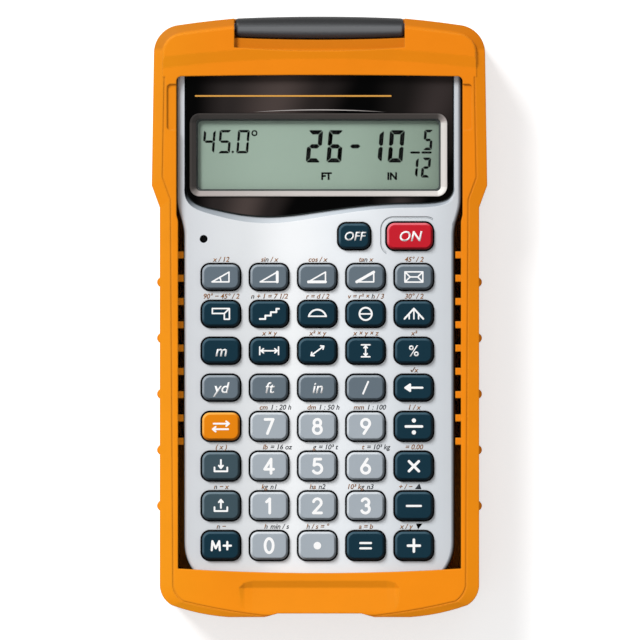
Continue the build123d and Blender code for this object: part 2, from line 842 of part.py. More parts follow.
# Front housing shell: the silver face with its key holes and the recess of the display panel.
window_x = frame_centre_x
panel_low_y = calc_top - frame_low_drop - panel_under_frame
panel_side_y = calc_top - frame_low_drop + panel_side_rise
with BuildPart() as front_shell:
    with BuildSketch(Plane.XY.offset(parting_z)):
        add(calculator_outline())
    extrude(amount=face_z - parting_z)
    fillet(front_shell.faces().sort_by(Axis.Z)[-1].outer_wire().edges(), radius=calc_edge_radius)
    with BuildSketch(Plane.XY.offset(parting_z)):
        add(calculator_outline())
        offset(amount=-calc_wall, mode=Mode.REPLACE)
    extrude(amount=face_under_z - parting_z, mode=Mode.SUBTRACT)
    with BuildSketch(Plane.XY.offset(parting_z)):
        with Locations(*boss_points):
            Circle(boss_radius)
    extrude(amount=face_under_z - parting_z)
    with BuildSketch(Plane.XY.offset(recess_z)):
        add(panel_outline(panel_half + panel_fit, panel_low_y - panel_fit, panel_side_y))
    with BuildSketch(Plane.XY.offset(face_z)):
        add(
            panel_outline(
                panel_half + bevel_side,
                panel_low_y - bevel_drop,
                panel_side_y - bevel_side,
            )
        )
    loft(ruled=True, mode=Mode.SUBTRACT)
    with BuildSketch(Plane.XY.offset(face_under_z)):
        add(
            rounded_block(
                window_x,
                frame_y,
                window_width - 2 * window_seat,
                window_height - 2 * window_seat,
                window_corner_radius,
            )
        )
        hole_radius = key_corner_radius + key_gap
        for _, key_x, key_y, width, height in keys:
            add(rounded_block(key_x, key_y, width + 2 * key_gap, height + 2 * key_gap, hole_radius))
        with Locations((reset_x, reset_y)):
            Circle(reset_hole_radius)
    extrude(amount=calc_face_thickness, mode=Mode.SUBTRACT)
    # shallow groove that follows the on key round its left and top sides
    groove_inner = 2 * (key_gap + groove_offset)
    with BuildSketch(Plane.XY.offset(face_z)):
        add(
            rounded_block(
                on_key_x,
                power_row_y,
                on_key_width + groove_inner + 2 * groove_width,
                on_key_height + groove_inner + 2 * groove_width,
                key_corner_radius + groove_inner / 2,
            )
        )
        with Locations((on_key_x, power_row_y)):
            RectangleRounded(
                on_key_width + groove_inner,
                on_key_height + groove_inner,
                key_corner_radius + groove_inner / 2 - groove_width,
                mode=Mode.SUBTRACT,
            )
            with Locations((on_key_width, 0), (0, -on_key_height)):
                Rectangle(on_key_width, on_key_height + 2 * groove_inner, mode=Mode.SUBTRACT)
    extrude(amount=-groove_depth, mode=Mode.SUBTRACT)
    # middle bosses stop on the board, and every boss takes a screw
    with BuildSketch(Plane.XY.offset(parting_z)):
        with Locations(*boss_points[2:4]):
            Circle(boss_radius + screw_clearance)
    extrude(amount=board_top_z - parting_z, mode=Mode.SUBTRACT)
    with BuildSketch(Plane.XY.offset(parting_z)):
        with Locations(*boss_points):
            Circle(screw_radius + screw_clearance)
    screw_tip_z = calc_back_z + screw_head_clearance + screw_length
    extrude(amount=screw_tip_z + screw_bore_extra - parting_z, mode=Mode.SUBTRACT)
finish(front_shell.part, "front_shell", silver)


# Rear housing shell: floor, walls, screw bosses, board posts and the well of the coin cell.
post_x = board_width / 2 - post_inset
post_points = [(side * post_x, y) for side in (-1, 1) for y in (frame_y, cell_y)]
well_width = door_width + 2 * well_wall
well_length = door_length + 2 * well_wall
tab_low_z = rear_floor_z + door_tab_gap
tab_top_z = tab_low_z + door_tab_thickness
tab_places = [(side * door_tab_half_spacing, door_axis_y - door_tab_reach) for side in (-1, 1)]
with BuildPart() as rear_shell:
    with BuildSketch(Plane.XY.offset(calc_back_z)):
        add(calculator_outline())
    extrude(amount=parting_z - calc_back_z)
    fillet(rear_shell.faces().sort_by(Axis.Z)[0].outer_wire().edges(), radius=calc_edge_radius)
    with BuildSketch(Plane.XY.offset(rear_floor_z)):
        add(calculator_outline())
        offset(amount=-calc_wall, mode=Mode.REPLACE)
    extrude(amount=parting_z - rear_floor_z, mode=Mode.SUBTRACT)
    with BuildSketch(Plane.XY.offset(rear_floor_z)):
        with Locations(*boss_points[:2], *boss_points[4:]):
            Circle(boss_radius)
    extrude(amount=parting_z - rear_floor_z)
    with BuildSketch(Plane.XY.offset(rear_floor_z)):
        with Locations(*boss_points[2:4]):
            Circle(boss_radius)
        with Locations(*post_points):
            Circle(post_radius)
    extrude(amount=board_z - rear_floor_z)
    with BuildSketch(Plane.XY.offset(rear_floor_z)):
        add(rounded_block(0, cell_y, well_width, well_length, door_corner_radius))
    extrude(amount=well_top_z - rear_floor_z)
    with BuildSketch(Plane.XY.offset(calc_back_z)):
        add(door_outline(door_hinge_y + door_clearance, door_clearance))
    extrude(amount=rear_floor_z - calc_back_z, mode=Mode.SUBTRACT)
    with BuildSketch(Plane.XY.offset(rear_floor_z)):
        with Locations((0, cell_y)):
            Circle(cell_radius + cell_clearance)
    extrude(amount=cell_top_z + contact_leaf - rear_floor_z, mode=Mode.SUBTRACT)
    # slots for the door's tabs, with room for them to swing, and for the two contacts
    tab_swing = (door_tab_reach**2 + (tab_top_z - door_axis_z) ** 2) ** 0.5
    slot_low_y = door_axis_y - tab_swing - tab_slot_margin
    with BuildSketch(Plane.XY.offset(rear_floor_z)):
        for tab_x, _ in tab_places:
            with Locations((tab_x, slot_low_y)):
                Rectangle(
                    door_tab_width + tab_slot_margin,
                    door_hinge_y + door_tab_reach + tab_slot_margin - slot_low_y,
                    align=(Align.CENTER, Align.MIN),
                )
    extrude(amount=2 * door_tab_thickness + tab_slot_margin, mode=Mode.SUBTRACT)
    contact_side_x = cell_radius + cell_clearance
    slot_x = contact_thickness + 2 * contact_slot_clearance
    slot_y = contact_width + 2 * contact_slot_clearance
    with BuildSketch(Plane.XY.offset(rear_floor_z)):
        with Locations((contact_side_x, cell_y)):
            Rectangle(2 * slot_x, slot_y)
    extrude(amount=well_top_z - rear_floor_z, mode=Mode.SUBTRACT)
    with BuildSketch(Plane.XY.offset(cell_top_z)):
        with Locations((0, cell_y)):
            Rectangle(slot_x, slot_y)
    extrude(amount=well_top_z - cell_top_z, mode=Mode.SUBTRACT)
    # screw holes with their heads sunk in the floor
    with BuildSketch(Plane.XY.offset(calc_back_z)):
        with Locations(*boss_points):
            Circle(screw_head_radius + screw_head_clearance)
    extrude(amount=screw_head_height + screw_head_clearance, mode=Mode.SUBTRACT)
    with BuildSketch(Plane.XY.offset(calc_back_z)):
        with Locations(*boss_points):
            Circle(screw_radius + 2 * screw_clearance)
    extrude(amount=parting_z - calc_back_z, mode=Mode.SUBTRACT)
finish(rear_shell.part, "rear_shell", dark)


# Six equal screws, driven from the back.
screw_z = calc_back_z + screw_head_clearance
with BuildPart() as housing_screws:
    with BuildSketch(Plane.XY.offset(screw_z)):
        with Locations(*boss_points):
            Circle(screw_head_radius)
    extrude(amount=screw_head_height)
    with BuildSketch(Plane.XY.offset(screw_z)):
        with Locations(*boss_points):
            Circle(screw_radius)
    extrude(amount=screw_length)
    with BuildSketch(Plane.XY.offset(screw_z)):
        with Locations(*boss_points):
            Rectangle(screw_slot_width, 2 * screw_radius)
            Rectangle(2 * screw_radius, screw_slot_width)
    extrude(amount=screw_slot_depth, mode=Mode.SUBTRACT)
finish(housing_screws.part, "housing_screws", steel)


# Battery door: a plate with a round hinge edge, a finger grip and two tabs that hook under the shell's floor.
with BuildPart() as battery_door:
    with BuildSketch(Plane.XY.offset(calc_back_z)):
        add(door_outline(door_axis_y, 0))
    extrude(amount=door_thickness)
    with BuildSketch(Plane.YZ.offset(-door_width / 2)):
        with Locations((door_axis_y, door_axis_z)):
            Circle(door_thickness / 2)
    extrude(amount=door_width)
    with BuildSketch(Plane.XY.offset(calc_back_z)):
        with Locations((0, door_end_y + door_grip_length)):
            SlotOverall(door_width / 2, door_grip_length)
    extrude(amount=door_grip_depth, mode=Mode.SUBTRACT)
    tab_length = door_hinge_y + door_tab_reach - door_axis_y + door_tab_reach
    with BuildSketch(Plane.XY.offset(tab_low_z)):
        with Locations(*tab_places):
            Rectangle(door_tab_width, tab_length, align=(Align.CENTER, Align.MIN))
    extrude(amount=door_tab_thickness)
    with BuildSketch(Plane.XY.offset(door_inner_z)):
        with Locations(*tab_places):
            Rectangle(door_tab_width, door_tab_reach, align=(Align.CENTER, Align.MIN))
    extrude(amount=tab_low_z - door_inner_z)
finish(battery_door.part, "battery_door", dark)


# Coin cell, and the two contact strips that lead from it to the board.
with BuildPart() as battery:
    with BuildSketch(Plane.XY.offset(cell_z)):
        with Locations((0, cell_y)):
            Circle(cell_radius)
    extrude(amount=cell_thickness)
    fillet(battery.edges().group_by(Axis.Z)[0], radius=contact_leaf)
finish(battery.part, "battery", steel)

with BuildPart() as battery_contacts:
    with BuildSketch(Plane.XY.offset(cell_top_z)):
        with Locations((0, cell_y)):
            Rectangle(cell_radius, contact_width)
    extrude(amount=contact_leaf)
    with BuildSketch(Plane.XY.offset(cell_top_z)):
        with Locations((0, cell_y)):
            Rectangle(contact_thickness, contact_width)
        with Locations((contact_side_x, cell_y)):
            Rectangle(contact_thickness, contact_width)
    extrude(amount=board_z - cell_top_z)
    with BuildSketch(Plane.XY.offset(cell_z + contact_leaf)):
        with Locations((contact_side_x, cell_y)):
            Rectangle(contact_thickness, contact_width)
    extrude(amount=cell_top_z - cell_z - contact_leaf)
finish(battery_contacts.part, "battery_contacts", steel)


# Display: black panel, silver window frame, clear window, and the display cell behind them.
with BuildPart() as display_bezel:
    with BuildSketch(Plane.XY.offset(recess_z)):
        add(panel_outline(panel_half, panel_low_y, panel_side_y))
        with Locations((window_x, frame_y)):
            RectangleRounded(
                frame_width + 2 * panel_fit,
                frame_height + 2 * panel_fit,
                frame_corner_radius,
                mode=Mode.SUBTRACT,
            )
    extrude(amount=panel_thickness)
finish(display_bezel.part, "display_bezel", black)

with BuildPart() as display_frame:
    with BuildSketch(Plane.XY.offset(recess_z)):
        add(rounded_block(window_x, frame_y, frame_width, frame_height, frame_corner_radius))
    extrude(amount=panel_thickness + frame_rise)
    with BuildSketch(Plane.XY.offset(recess_z)):
        add(
            rounded_block(
                window_x,
                frame_y,
                window_width + 2 * window_fit,
                window_height + 2 * window_fit,
                window_corner_radius + window_fit,
            )
        )
    extrude(amount=panel_thickness + frame_rise, mode=Mode.SUBTRACT)
    # the frame slopes in towards the window
    bevel_low_z = recess_z + window_thickness + frame_bevel_margin
    for z, run in [(bevel_low_z, 0), (recess_z + panel_thickness + frame_rise, frame_bevel_run)]:
        with BuildSketch(Plane.XY.offset(z)):
            add(
                rounded_block(
                    window_x,
                    frame_y,
                    window_width + 2 * (window_fit + run),
                    window_height + 2 * (window_fit + run),
                    window_corner_radius + window_fit + run,
                )
            )
    loft(ruled=True, mode=Mode.SUBTRACT)
finish(display_frame.part, "display_frame", silver)

with BuildPart() as display_window:
    with BuildSketch(Plane.XY.offset(recess_z)):
        add(rounded_block(window_x, frame_y, window_width, window_height, window_corner_radius))
    extrude(amount=window_thickness)
finish(display_window.part, "display_window", (0.75, 0.85, 0.85, 0.35))

with BuildPart() as lcd_panel:
    with BuildSketch(Plane.XY.offset(glass_bottom_z)):
        with Locations((window_x, frame_y)):
            Rectangle(glass_width, glass_height)
    extrude(amount=glass_thickness)
finish(lcd_panel.part, "lcd_panel", (0.62, 0.69, 0.63))

strip_y = (glass_height - strip_width) / 2 - strip_inset
with BuildPart() as lcd_connectors:
    with BuildSketch(Plane.XY.offset(board_top_z)):
        with Locations((window_x, frame_y - strip_y), (window_x, frame_y + strip_y)):
            Rectangle(glass_width - 2 * strip_end_margin, strip_width)
    extrude(amount=glass_bottom_z - board_top_z)
finish(lcd_connectors.part, "lcd_connectors", (0.9, 0.88, 0.84))


# Circuit board, the processor under its moulded cap, and the key mat with its domes.
board_length = board_top_y - board_bottom_y
with BuildPart() as circuit_board:
    with BuildSketch(Plane.XY.offset(board_z)):
        board_y = (board_top_y + board_bottom_y) / 2
        add(rounded_block(0, board_y, board_width, board_length, board_corner_radius))
        with Locations(*boss_points[2:4]):
            Circle(screw_radius + 2 * screw_clearance, mode=Mode.SUBTRACT)
    extrude(amount=board_thickness)
finish(circuit_board.part, "circuit_board", (0.12, 0.36, 0.2))

with BuildPart() as processor:
    with BuildSketch(Plane.XY.offset(board_top_z)):
        with Locations((window_x, frame_y)):
            Circle(chip_radius)
    extrude(amount=chip_height)
    fillet(processor.edges().group_by(Axis.Z)[-1], radius=chip_corner)
finish(processor.part, "processor", black)

mat_length = mat_top_y - board_bottom_y
with BuildPart() as key_mat:
    with BuildSketch(Plane.XY.offset(board_top_z)):
        mat_y = (mat_top_y + board_bottom_y) / 2
        add(rounded_block(0, mat_y, board_width, mat_length, board_corner_radius))
    extrude(amount=mat_thickness)
    dome_places = [(key_x, key_y) for _, key_x, key_y, _, _ in keys] + [(reset_x, reset_y)]
    with BuildSketch(Plane.XY.offset(mat_top_z)):
        with Locations(*dome_places):
            Circle(dome_tip_radius)
    extrude(amount=dome_top_z - mat_top_z)
finish(key_mat.part, "key_mat", (0.7, 0.7, 0.68))


# Keys: a cap through the face and a flange under it that keeps the key in.
key_tints = {
    "convert": (0.92, 0.55, 0.08),
    "on": (0.78, 0.1, 0.15),
    "store": (0.24, 0.33, 0.38),
    "recall": (0.24, 0.33, 0.38),
}
grey_keys = function_rows[0] + function_rows[3][:4]
number_keys = [key for key, _, _, _, _ in keys if key.isdigit()] + ["point"]
for key, key_x, key_y, width, height in keys:
    with BuildPart() as key_cap:
        with BuildSketch(Plane.XY.offset(flange_bottom_z)):
            flange_radius = key_corner_radius + key_flange
            flange_width = width + 2 * key_flange
            flange_height = height + 2 * key_flange
            add(rounded_block(key_x, key_y, flange_width, flange_height, flange_radius))
        extrude(amount=key_flange_thickness)
        with BuildSketch(Plane.XY.offset(flange_bottom_z)):
            add(rounded_block(key_x, key_y, width, height, key_corner_radius))
        extrude(amount=key_top_z - flange_bottom_z)
        chamfer(key_cap.faces().sort_by(Axis.Z)[-1].outer_wire().edges(), length=key_edge)
        fillet(key_cap.faces().sort_by(Axis.Z)[-1].outer_wire().edges(), radius=key_edge_radius)
    tint = key_tints.get(key, (0.1, 0.2, 0.25))
    if key in grey_keys:
        tint = (0.42, 0.47, 0.52)
    if key in number_keys:
        tint = (0.66, 0.69, 0.72)
    finish(key_cap.part, f"key_{key}", tint)

with BuildPart() as reset_button:
    with BuildSketch(Plane.XY.offset(flange_bottom_z)):
        with Locations((reset_x, reset_y)):
            Circle(reset_flange_radius)
    extrude(amount=key_flange_thickness)
    with BuildSketch(Plane.XY.offset(flange_bottom_z)):
        with Locations((reset_x, reset_y)):
            Circle(reset_pin_radius)
    extrude(amount=face_z - reset_sink - flange_bottom_z)
finish(reset_button.part, "reset_button", black)
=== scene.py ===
import math

import bmesh
import bpy
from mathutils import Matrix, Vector
from mathutils.geometry import delaunay_2d_cdt


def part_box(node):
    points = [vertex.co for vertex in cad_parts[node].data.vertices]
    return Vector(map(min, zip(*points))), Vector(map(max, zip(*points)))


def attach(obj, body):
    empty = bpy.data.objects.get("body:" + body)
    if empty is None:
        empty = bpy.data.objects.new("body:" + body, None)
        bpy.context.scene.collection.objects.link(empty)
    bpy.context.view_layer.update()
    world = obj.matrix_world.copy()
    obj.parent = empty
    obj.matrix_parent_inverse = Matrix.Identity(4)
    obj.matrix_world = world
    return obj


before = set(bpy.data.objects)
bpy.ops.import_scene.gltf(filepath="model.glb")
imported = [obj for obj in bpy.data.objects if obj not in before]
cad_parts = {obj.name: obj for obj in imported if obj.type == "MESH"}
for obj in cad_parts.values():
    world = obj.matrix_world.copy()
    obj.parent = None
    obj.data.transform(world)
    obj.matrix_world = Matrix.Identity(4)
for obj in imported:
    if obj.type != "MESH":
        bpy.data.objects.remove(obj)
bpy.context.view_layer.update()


# The studio. The camera hangs two metres straight above the keypad, as in the photograph.
# The table top is plain white and lets the back be seen from below; one broad lamp stands to
# the upper left in an evenly white room.
face_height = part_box("front_shell")[1].z
view_width = 0.1504
view_x = 0.00012
view_y = -0.00075
camera_distance = 2.0
camera = bpy.data.objects.new("camera", bpy.data.cameras.new("camera"))
camera.data.lens = camera.data.sensor_width * camera_distance / view_width
camera.location = (view_x, view_y, face_height + camera_distance)
bpy.context.collection.objects.link(camera)
bpy.context.scene.camera = camera

bpy.context.scene.view_settings.view_transform = "Standard"


def add_node(tree, kind, sockets=None, **settings):
    """One shader node with its settings, and its sockets set or wired."""
    node = tree.nodes.new("ShaderNode" + kind)
    for name, value in settings.items():
        setattr(node, name, value)
    for name, value in (sockets or {}).items():
        if isinstance(value, bpy.types.NodeSocket):
            tree.links.new(value, node.inputs[name])
        else:
            node.inputs[name].default_value = value
    return node


def seen_directly(tree):
    """One where a ray comes from the camera, a reflection or a window, and zero elsewhere."""
    rays = add_node(tree, "LightPath").outputs
    seen = add_node(
        tree,
        "Math",
        {0: rays["Is Camera Ray"], 1: rays["Is Glossy Ray"]},
        operation="MAXIMUM",
    )
    return add_node(
        tree,
        "Math",
        {0: seen.outputs[0], 1: rays["Is Transmission Ray"]},
        operation="MAXIMUM",
    ).outputs[0]


room_light = 0.44
room = bpy.data.worlds.new("room")
room.use_nodes = True
bpy.context.scene.world = room
room_tree = room.node_tree
room_strength = add_node(
    room_tree,
    "MapRange",
    {"Value": seen_directly(room_tree), "To Min": room_light, "To Max": 1.0},
)
room_tree.links.new(room_strength.outputs[0], room_tree.nodes["Background"].inputs["Strength"])
room_tree.nodes["Background"].inputs["Color"].default_value = (1, 1, 1, 1)

lamp_place = Vector((-1.16, 1.42, 1.6))
lamp_size = 0.85
lamp_power = 49.0
lamp = bpy.data.objects.new("lamp", bpy.data.lights.new("lamp", "AREA"))
lamp.data.size = lamp_size
lamp.data.energy = lamp_power
lamp.location = lamp_place
lamp.rotation_euler = (-lamp_place).to_track_quat("-Z", "Y").to_euler()
bpy.context.collection.objects.link(lamp)

table_half = 1.5
table_grey = (0.8, 0.8, 0.8, 1)
table_glow = 0.54
table_mesh = bpy.data.meshes.new("table_top")
table_corners = [(-1, -1), (1, -1), (1, 1), (-1, 1)]
table_mesh.from_pydata([(x * table_half, y * table_half, 0) for x, y in table_corners], [], [(0, 1, 2, 3)])
table_top = bpy.data.objects.new("table_top", table_mesh)
bpy.context.collection.objects.link(table_top)
table_finish = bpy.data.materials.new("table_top")
table_finish.use_nodes = True
table_tree = table_finish.node_tree
table_tree.nodes.remove(table_tree.nodes["Principled BSDF"])
table_paint = add_node(table_tree, "BsdfDiffuse", {"Color": table_grey})
table_glow_share = add_node(
    table_tree,
    "MapRange",
    {"Value": seen_directly(table_tree), "To Min": 0.0, "To Max": table_glow},
)
table_light = add_node(
    table_tree,
    "Emission",
    {"Color": (1, 1, 1, 1), "Strength": table_glow_share.outputs[0]},
)
table_front = add_node(table_tree, "AddShader", {0: table_paint.outputs[0], 1: table_light.outputs[0]})
table_sides = add_node(
    table_tree,
    "MixShader",
    {
        0: add_node(table_tree, "NewGeometry").outputs["Backfacing"],
        1: table_front.outputs[0],
        2: add_node(table_tree, "BsdfTransparent").outputs[0],
    },
)
table_tree.links.new(table_sides.outputs[0], table_tree.nodes["Material Output"].inputs["Surface"])
table_mesh.materials.append(table_finish)


# The rugged case: one moulding in bright orange elastomer that the calculator is pressed into.
# It keeps its CAD shape; the mould left a fine even grain and the outer edges are slightly rounded
# and rubbed paler. Its colour also carries painted light: painted shade on faces turned to the lamp,
# a lighter tone on faces turned away, and a painted shadow on the low step under the stand's barrel
# at the display end. It also grows slightly darker towards the display end and warmer to the right.
def paint(code):
    """Linear colour from its six-digit code."""
    shades = [int(code[place : place + 2], 16) / 255 for place in (0, 2, 4)]
    return (*[s / 12.92 if s < 0.04045 else ((s + 0.055) / 1.055) ** 2.4 for s in shades], 1)


def shader_group(name, inputs, outputs):
    """An empty effect with its named inputs and outputs."""
    group = bpy.data.node_groups.new(name, "ShaderNodeTree")
    for label, value in inputs.items():
        socket = group.interface.new_socket(label, in_out="INPUT", socket_type="NodeSocketFloat")
        socket.default_value = value
    for label, kind in outputs.items():
        group.interface.new_socket(label, in_out="OUTPUT", socket_type=kind)
    return group, group.nodes.new("NodeGroupInput"), group.nodes.new("NodeGroupOutput")


def object_place(tree):
    """X, Y and Z of the shaded point, in metres."""
    place = add_node(tree, "TexCoord").outputs["Object"]
    return add_node(tree, "SeparateXYZ", {0: place}).outputs


mottle_per_metre = 90.0
bevel_samples = 6
grain, grain_in, grain_out = shader_group(
    "mould_grain",
    {"Grains per Metre": 4000.0},
    {"Height": "NodeSocketFloat", "Mottle": "NodeSocketFloat"},
)
grain_place = add_node(grain, "TexCoord").outputs["Object"]
fine_grain = add_node(
    grain,
    "TexNoise",
    {"Vector": grain_place, "Scale": grain_in.outputs[0], "Detail": 2.0, "Roughness": 0.6},
)
broad_mottle = add_node(
    grain,
    "TexNoise",
    {"Vector": grain_place, "Scale": mottle_per_metre, "Detail": 4.0, "Roughness": 0.6},
)
grain.links.new(fine_grain.outputs[0], grain_out.inputs["Height"])
grain.links.new(broad_mottle.outputs[0], grain_out.inputs["Mottle"])

edges, edges_in, edges_out = shader_group(
    "softened_edges",
    {"Radius": 0.0003},
    {"Normal": "NodeSocketVector", "Edge": "NodeSocketFloat"},
)
rounded = add_node(edges, "Bevel", {"Radius": edges_in.outputs[0]}, samples=bevel_samples)
full_edge_turn = 0.8
turn = add_node(
    edges,
    "VectorMath",
    {0: rounded.outputs[0], 1: add_node(edges, "NewGeometry").outputs["Normal"]},
    operation="DOT_PRODUCT",
)
edge_share = add_node(
    edges,
    "MapRange",
    {"Value": turn.outputs["Value"], "From Min": 1.0, "From Max": full_edge_turn},
)
edges.links.new(rounded.outputs[0], edges_out.inputs["Normal"])
edges.links.new(edge_share.outputs[0], edges_out.inputs["Edge"])

# Shares of the softened normal along the upright, towards the lamp and towards the left, and the point's
# height. The materials use the first three to paint light: painted shade and highlights that follow how a
# surface faces the lamp.
tilt, tilt_in, tilt_out = shader_group(
    "surface_tilt",
    {"Radius": 0.0002},
    {
        "Upright": "NodeSocketFloat",
        "Toward Lamp": "NodeSocketFloat",
        "Sideways": "NodeSocketFloat",
        "Depth": "NodeSocketFloat",
    },
)
tilt_normal = add_node(tilt, "Bevel", {"Radius": tilt_in.outputs[0]}, samples=bevel_samples)
tilt_axes = {"Upright": (0, 0, 1), "Toward Lamp": (-0.62, 0.78, 0), "Sideways": (-1, 0, 0)}
for tilt_name, tilt_axis in tilt_axes.items():
    tilt_share = add_node(
        tilt,
        "VectorMath",
        {0: tilt_normal.outputs[0], 1: tilt_axis},
        operation="DOT_PRODUCT",
    )
    tilt.links.new(tilt_share.outputs["Value"], tilt_out.inputs[tilt_name])
tilt.links.new(object_place(tilt)["Z"], tilt_out.inputs["Depth"])

mottle_low = 0.3
mottle_high = 0.7
polish_change = 0.1


def moulded(
    name,
    colour,
    edge_colour,
    roughness,
    grains,
    grain_depth,
    edge_radius,
    wear,
    mottle=0.06,
    **sockets,
):
    """A moulded or painted finish with its own grain, softened edges and slight wear."""
    material = bpy.data.materials.new(name)
    material.use_nodes = True
    tree = material.node_tree
    shader = tree.nodes["Principled BSDF"]
    skin = add_node(tree, "Group", node_tree=grain)
    skin.inputs[0].default_value = grains
    rim = add_node(tree, "Group", node_tree=edges)
    rim.inputs[0].default_value = edge_radius
    tone = add_node(
        tree,
        "MixRGB",
        {
            "Fac": skin.outputs["Mottle"],
            "Color1": [max(0, shade * (1 - mottle)) for shade in colour[:3]] + [1],
            "Color2": [shade * (1 + mottle) for shade in colour[:3]] + [1],
        },
    )
    worn_share = add_node(
        tree,
        "MapRange",
        {"Value": rim.outputs["Edge"], "To Min": 0.0, "To Max": wear},
    )
    worn = add_node(
        tree,
        "MixRGB",
        {"Fac": worn_share.outputs[0], "Color1": tone.outputs[0], "Color2": edge_colour},
    )
    polish = add_node(
        tree,
        "MapRange",
        {
            "Value": skin.outputs["Mottle"],
            "From Min": mottle_low,
            "From Max": mottle_high,
            "To Min": roughness * (1 - polish_change),
            "To Max": roughness * (1 + polish_change),
        },
    )
    relief = add_node(
        tree,
        "Bump",
        {
            "Height": skin.outputs["Height"],
            "Normal": rim.outputs["Normal"],
            "Strength": 1.0,
            "Distance": grain_depth,
        },
    )
    tree.links.new(worn.outputs[0], shader.inputs["Base Color"])
    tree.links.new(polish.outputs[0], shader.inputs["Roughness"])
    tree.links.new(relief.outputs[0], shader.inputs["Normal"])
    for label, value in sockets.items():
        shader.inputs[label.replace("_", " ")].default_value = value
    return material


def dress(node, material):
    """Gives a CAD piece its finish."""
    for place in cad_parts[node].material_slots:
        place.material = material


def colour_ramp(tree, value, stops):
    """Smooth colours along a value from zero to one."""
    ramp = add_node(tree, "ValToRGB", {"Fac": value})
    ramp.color_ramp.interpolation = "EASE"
    for stop, (share, shade) in enumerate(stops):
        if stop > 1:
            ramp.color_ramp.elements.new(share)
        ramp.color_ramp.elements[stop].position = share
        ramp.color_ramp.elements[stop].color = paint(shade)
    return ramp.outputs["Color"]


def recolour(material, shade):
    """Puts a new colour, print or painted light, in the place of a finish's own."""
    tree = material.node_tree
    tree.links.new(shade, tree.nodes["Principled BSDF"].inputs["Base Color"])


case_orange = moulded(
    "orange_case",
    colour=paint("ff9f12"),
    edge_colour=paint("ffb348"),
    roughness=0.5,
    grains=5200.0,
    grain_depth=0.000012,
    edge_radius=0.00045,
    wear=0.35,
    Specular_IOR_Level=0.12,
)
case_tree = case_orange.node_tree
case_coat = case_tree.nodes["Principled BSDF"].inputs["Base Color"]
case_tilt = add_node(case_tree, "Group", node_tree=tilt)
case_place = object_place(case_tree)
case_lean_reach = 0.25
case_foot_y = -0.06
case_head_y = 0.05
case_half_width = 0.038
step_from_y = 0.0624
step_full_y = 0.0632
step_edge_z = 0.0201
step_floor_z = 0.0199
case_lamp_facing = add_node(
    case_tree,
    "MapRange",
    {
        "Value": case_tilt.outputs["Toward Lamp"],
        "From Min": -case_lean_reach,
        "From Max": case_lean_reach,
    },
)
case_rise = add_node(
    case_tree,
    "MapRange",
    {"Value": case_place["Y"], "From Min": case_foot_y, "From Max": case_head_y},
)
case_across = add_node(
    case_tree,
    "MapRange",
    {"Value": case_place["X"], "From Min": -case_half_width, "From Max": case_half_width},
)
# The painted shadow of the stand's barrel, on the low step at the display end.
step_start = add_node(
    case_tree,
    "MapRange",
    {"Value": case_place["Y"], "From Min": step_from_y, "From Max": step_full_y},
)
step_floor = add_node(
    case_tree,
    "MapRange",
    {"Value": case_tilt.outputs["Depth"], "From Min": step_edge_z, "From Max": step_floor_z},
)
step_painted_shadow = add_node(
    case_tree,
    "Math",
    {0: step_start.outputs[0], 1: step_floor.outputs[0]},
    operation="MULTIPLY",
)
# Painted shade on faces turned to the lamp and a lighter tone on faces turned away; then slightly darker
# towards the display end and warmer to the right; then the painted shadow on the step.
lamp_facing_painted_tones = [(0.0, "ffffff"), (0.5, "faf3e4"), (1.0, "eeeddc")]
rise_tones = [(0.0, "ffffff"), (1.0, "f5efeb")]
across_tones = [(0.0, "ffffff"), (0.25, "fff5e0"), (1.0, "fff3d8")]
case_colour = case_coat.links[0].from_socket
for share, tone in [
    (1.0, colour_ramp(case_tree, case_lamp_facing.outputs[0], lamp_facing_painted_tones)),
    (1.0, colour_ramp(case_tree, case_rise.outputs[0], rise_tones)),
    (1.0, colour_ramp(case_tree, case_across.outputs[0], across_tones)),
    (step_painted_shadow.outputs[0], paint("e6e6e6")),
]:
    case_colour = add_node(
        case_tree,
        "MixRGB",
        {"Fac": share, "Color1": case_colour, "Color2": tone},
        blend_type="MULTIPLY",
    ).outputs[0]
bounce_grey = 0.7
case_bounce = add_node(
    case_tree,
    "MapRange",
    {
        "Value": add_node(case_tree, "LightPath").outputs["Is Diffuse Ray"],
        "To Min": 0.0,
        "To Max": bounce_grey,
    },
)
case_seen = add_node(
    case_tree,
    "MixRGB",
    {"Fac": case_bounce.outputs[0], "Color1": case_colour, "Color2": paint("9c948c")},
)
recolour(case_orange, case_seen.outputs[0])
dress("case_shell", case_orange)


# The tilt stand and its pin. The stand is one piece of dark glass-filled nylon with a barrel that
# turns on a ground steel pin in the case's notch; the leg folds flat into the back. The stand's
# colour is painted light: a painted highlight along the barrel's crown, painted shade on faces
# turned to the lamp and a lighter tone on faces turned away.
stand_nylon = moulded(
    "dark_stand",
    colour=paint("2b2d30"),
    edge_colour=paint("44464a"),
    roughness=0.45,
    grains=3600.0,
    grain_depth=0.000008,
    edge_radius=0.0003,
    wear=0.3,
    Specular_IOR_Level=0.3,
)
stand_tree = stand_nylon.node_tree
stand_tilt = add_node(stand_tree, "Group", node_tree=tilt)
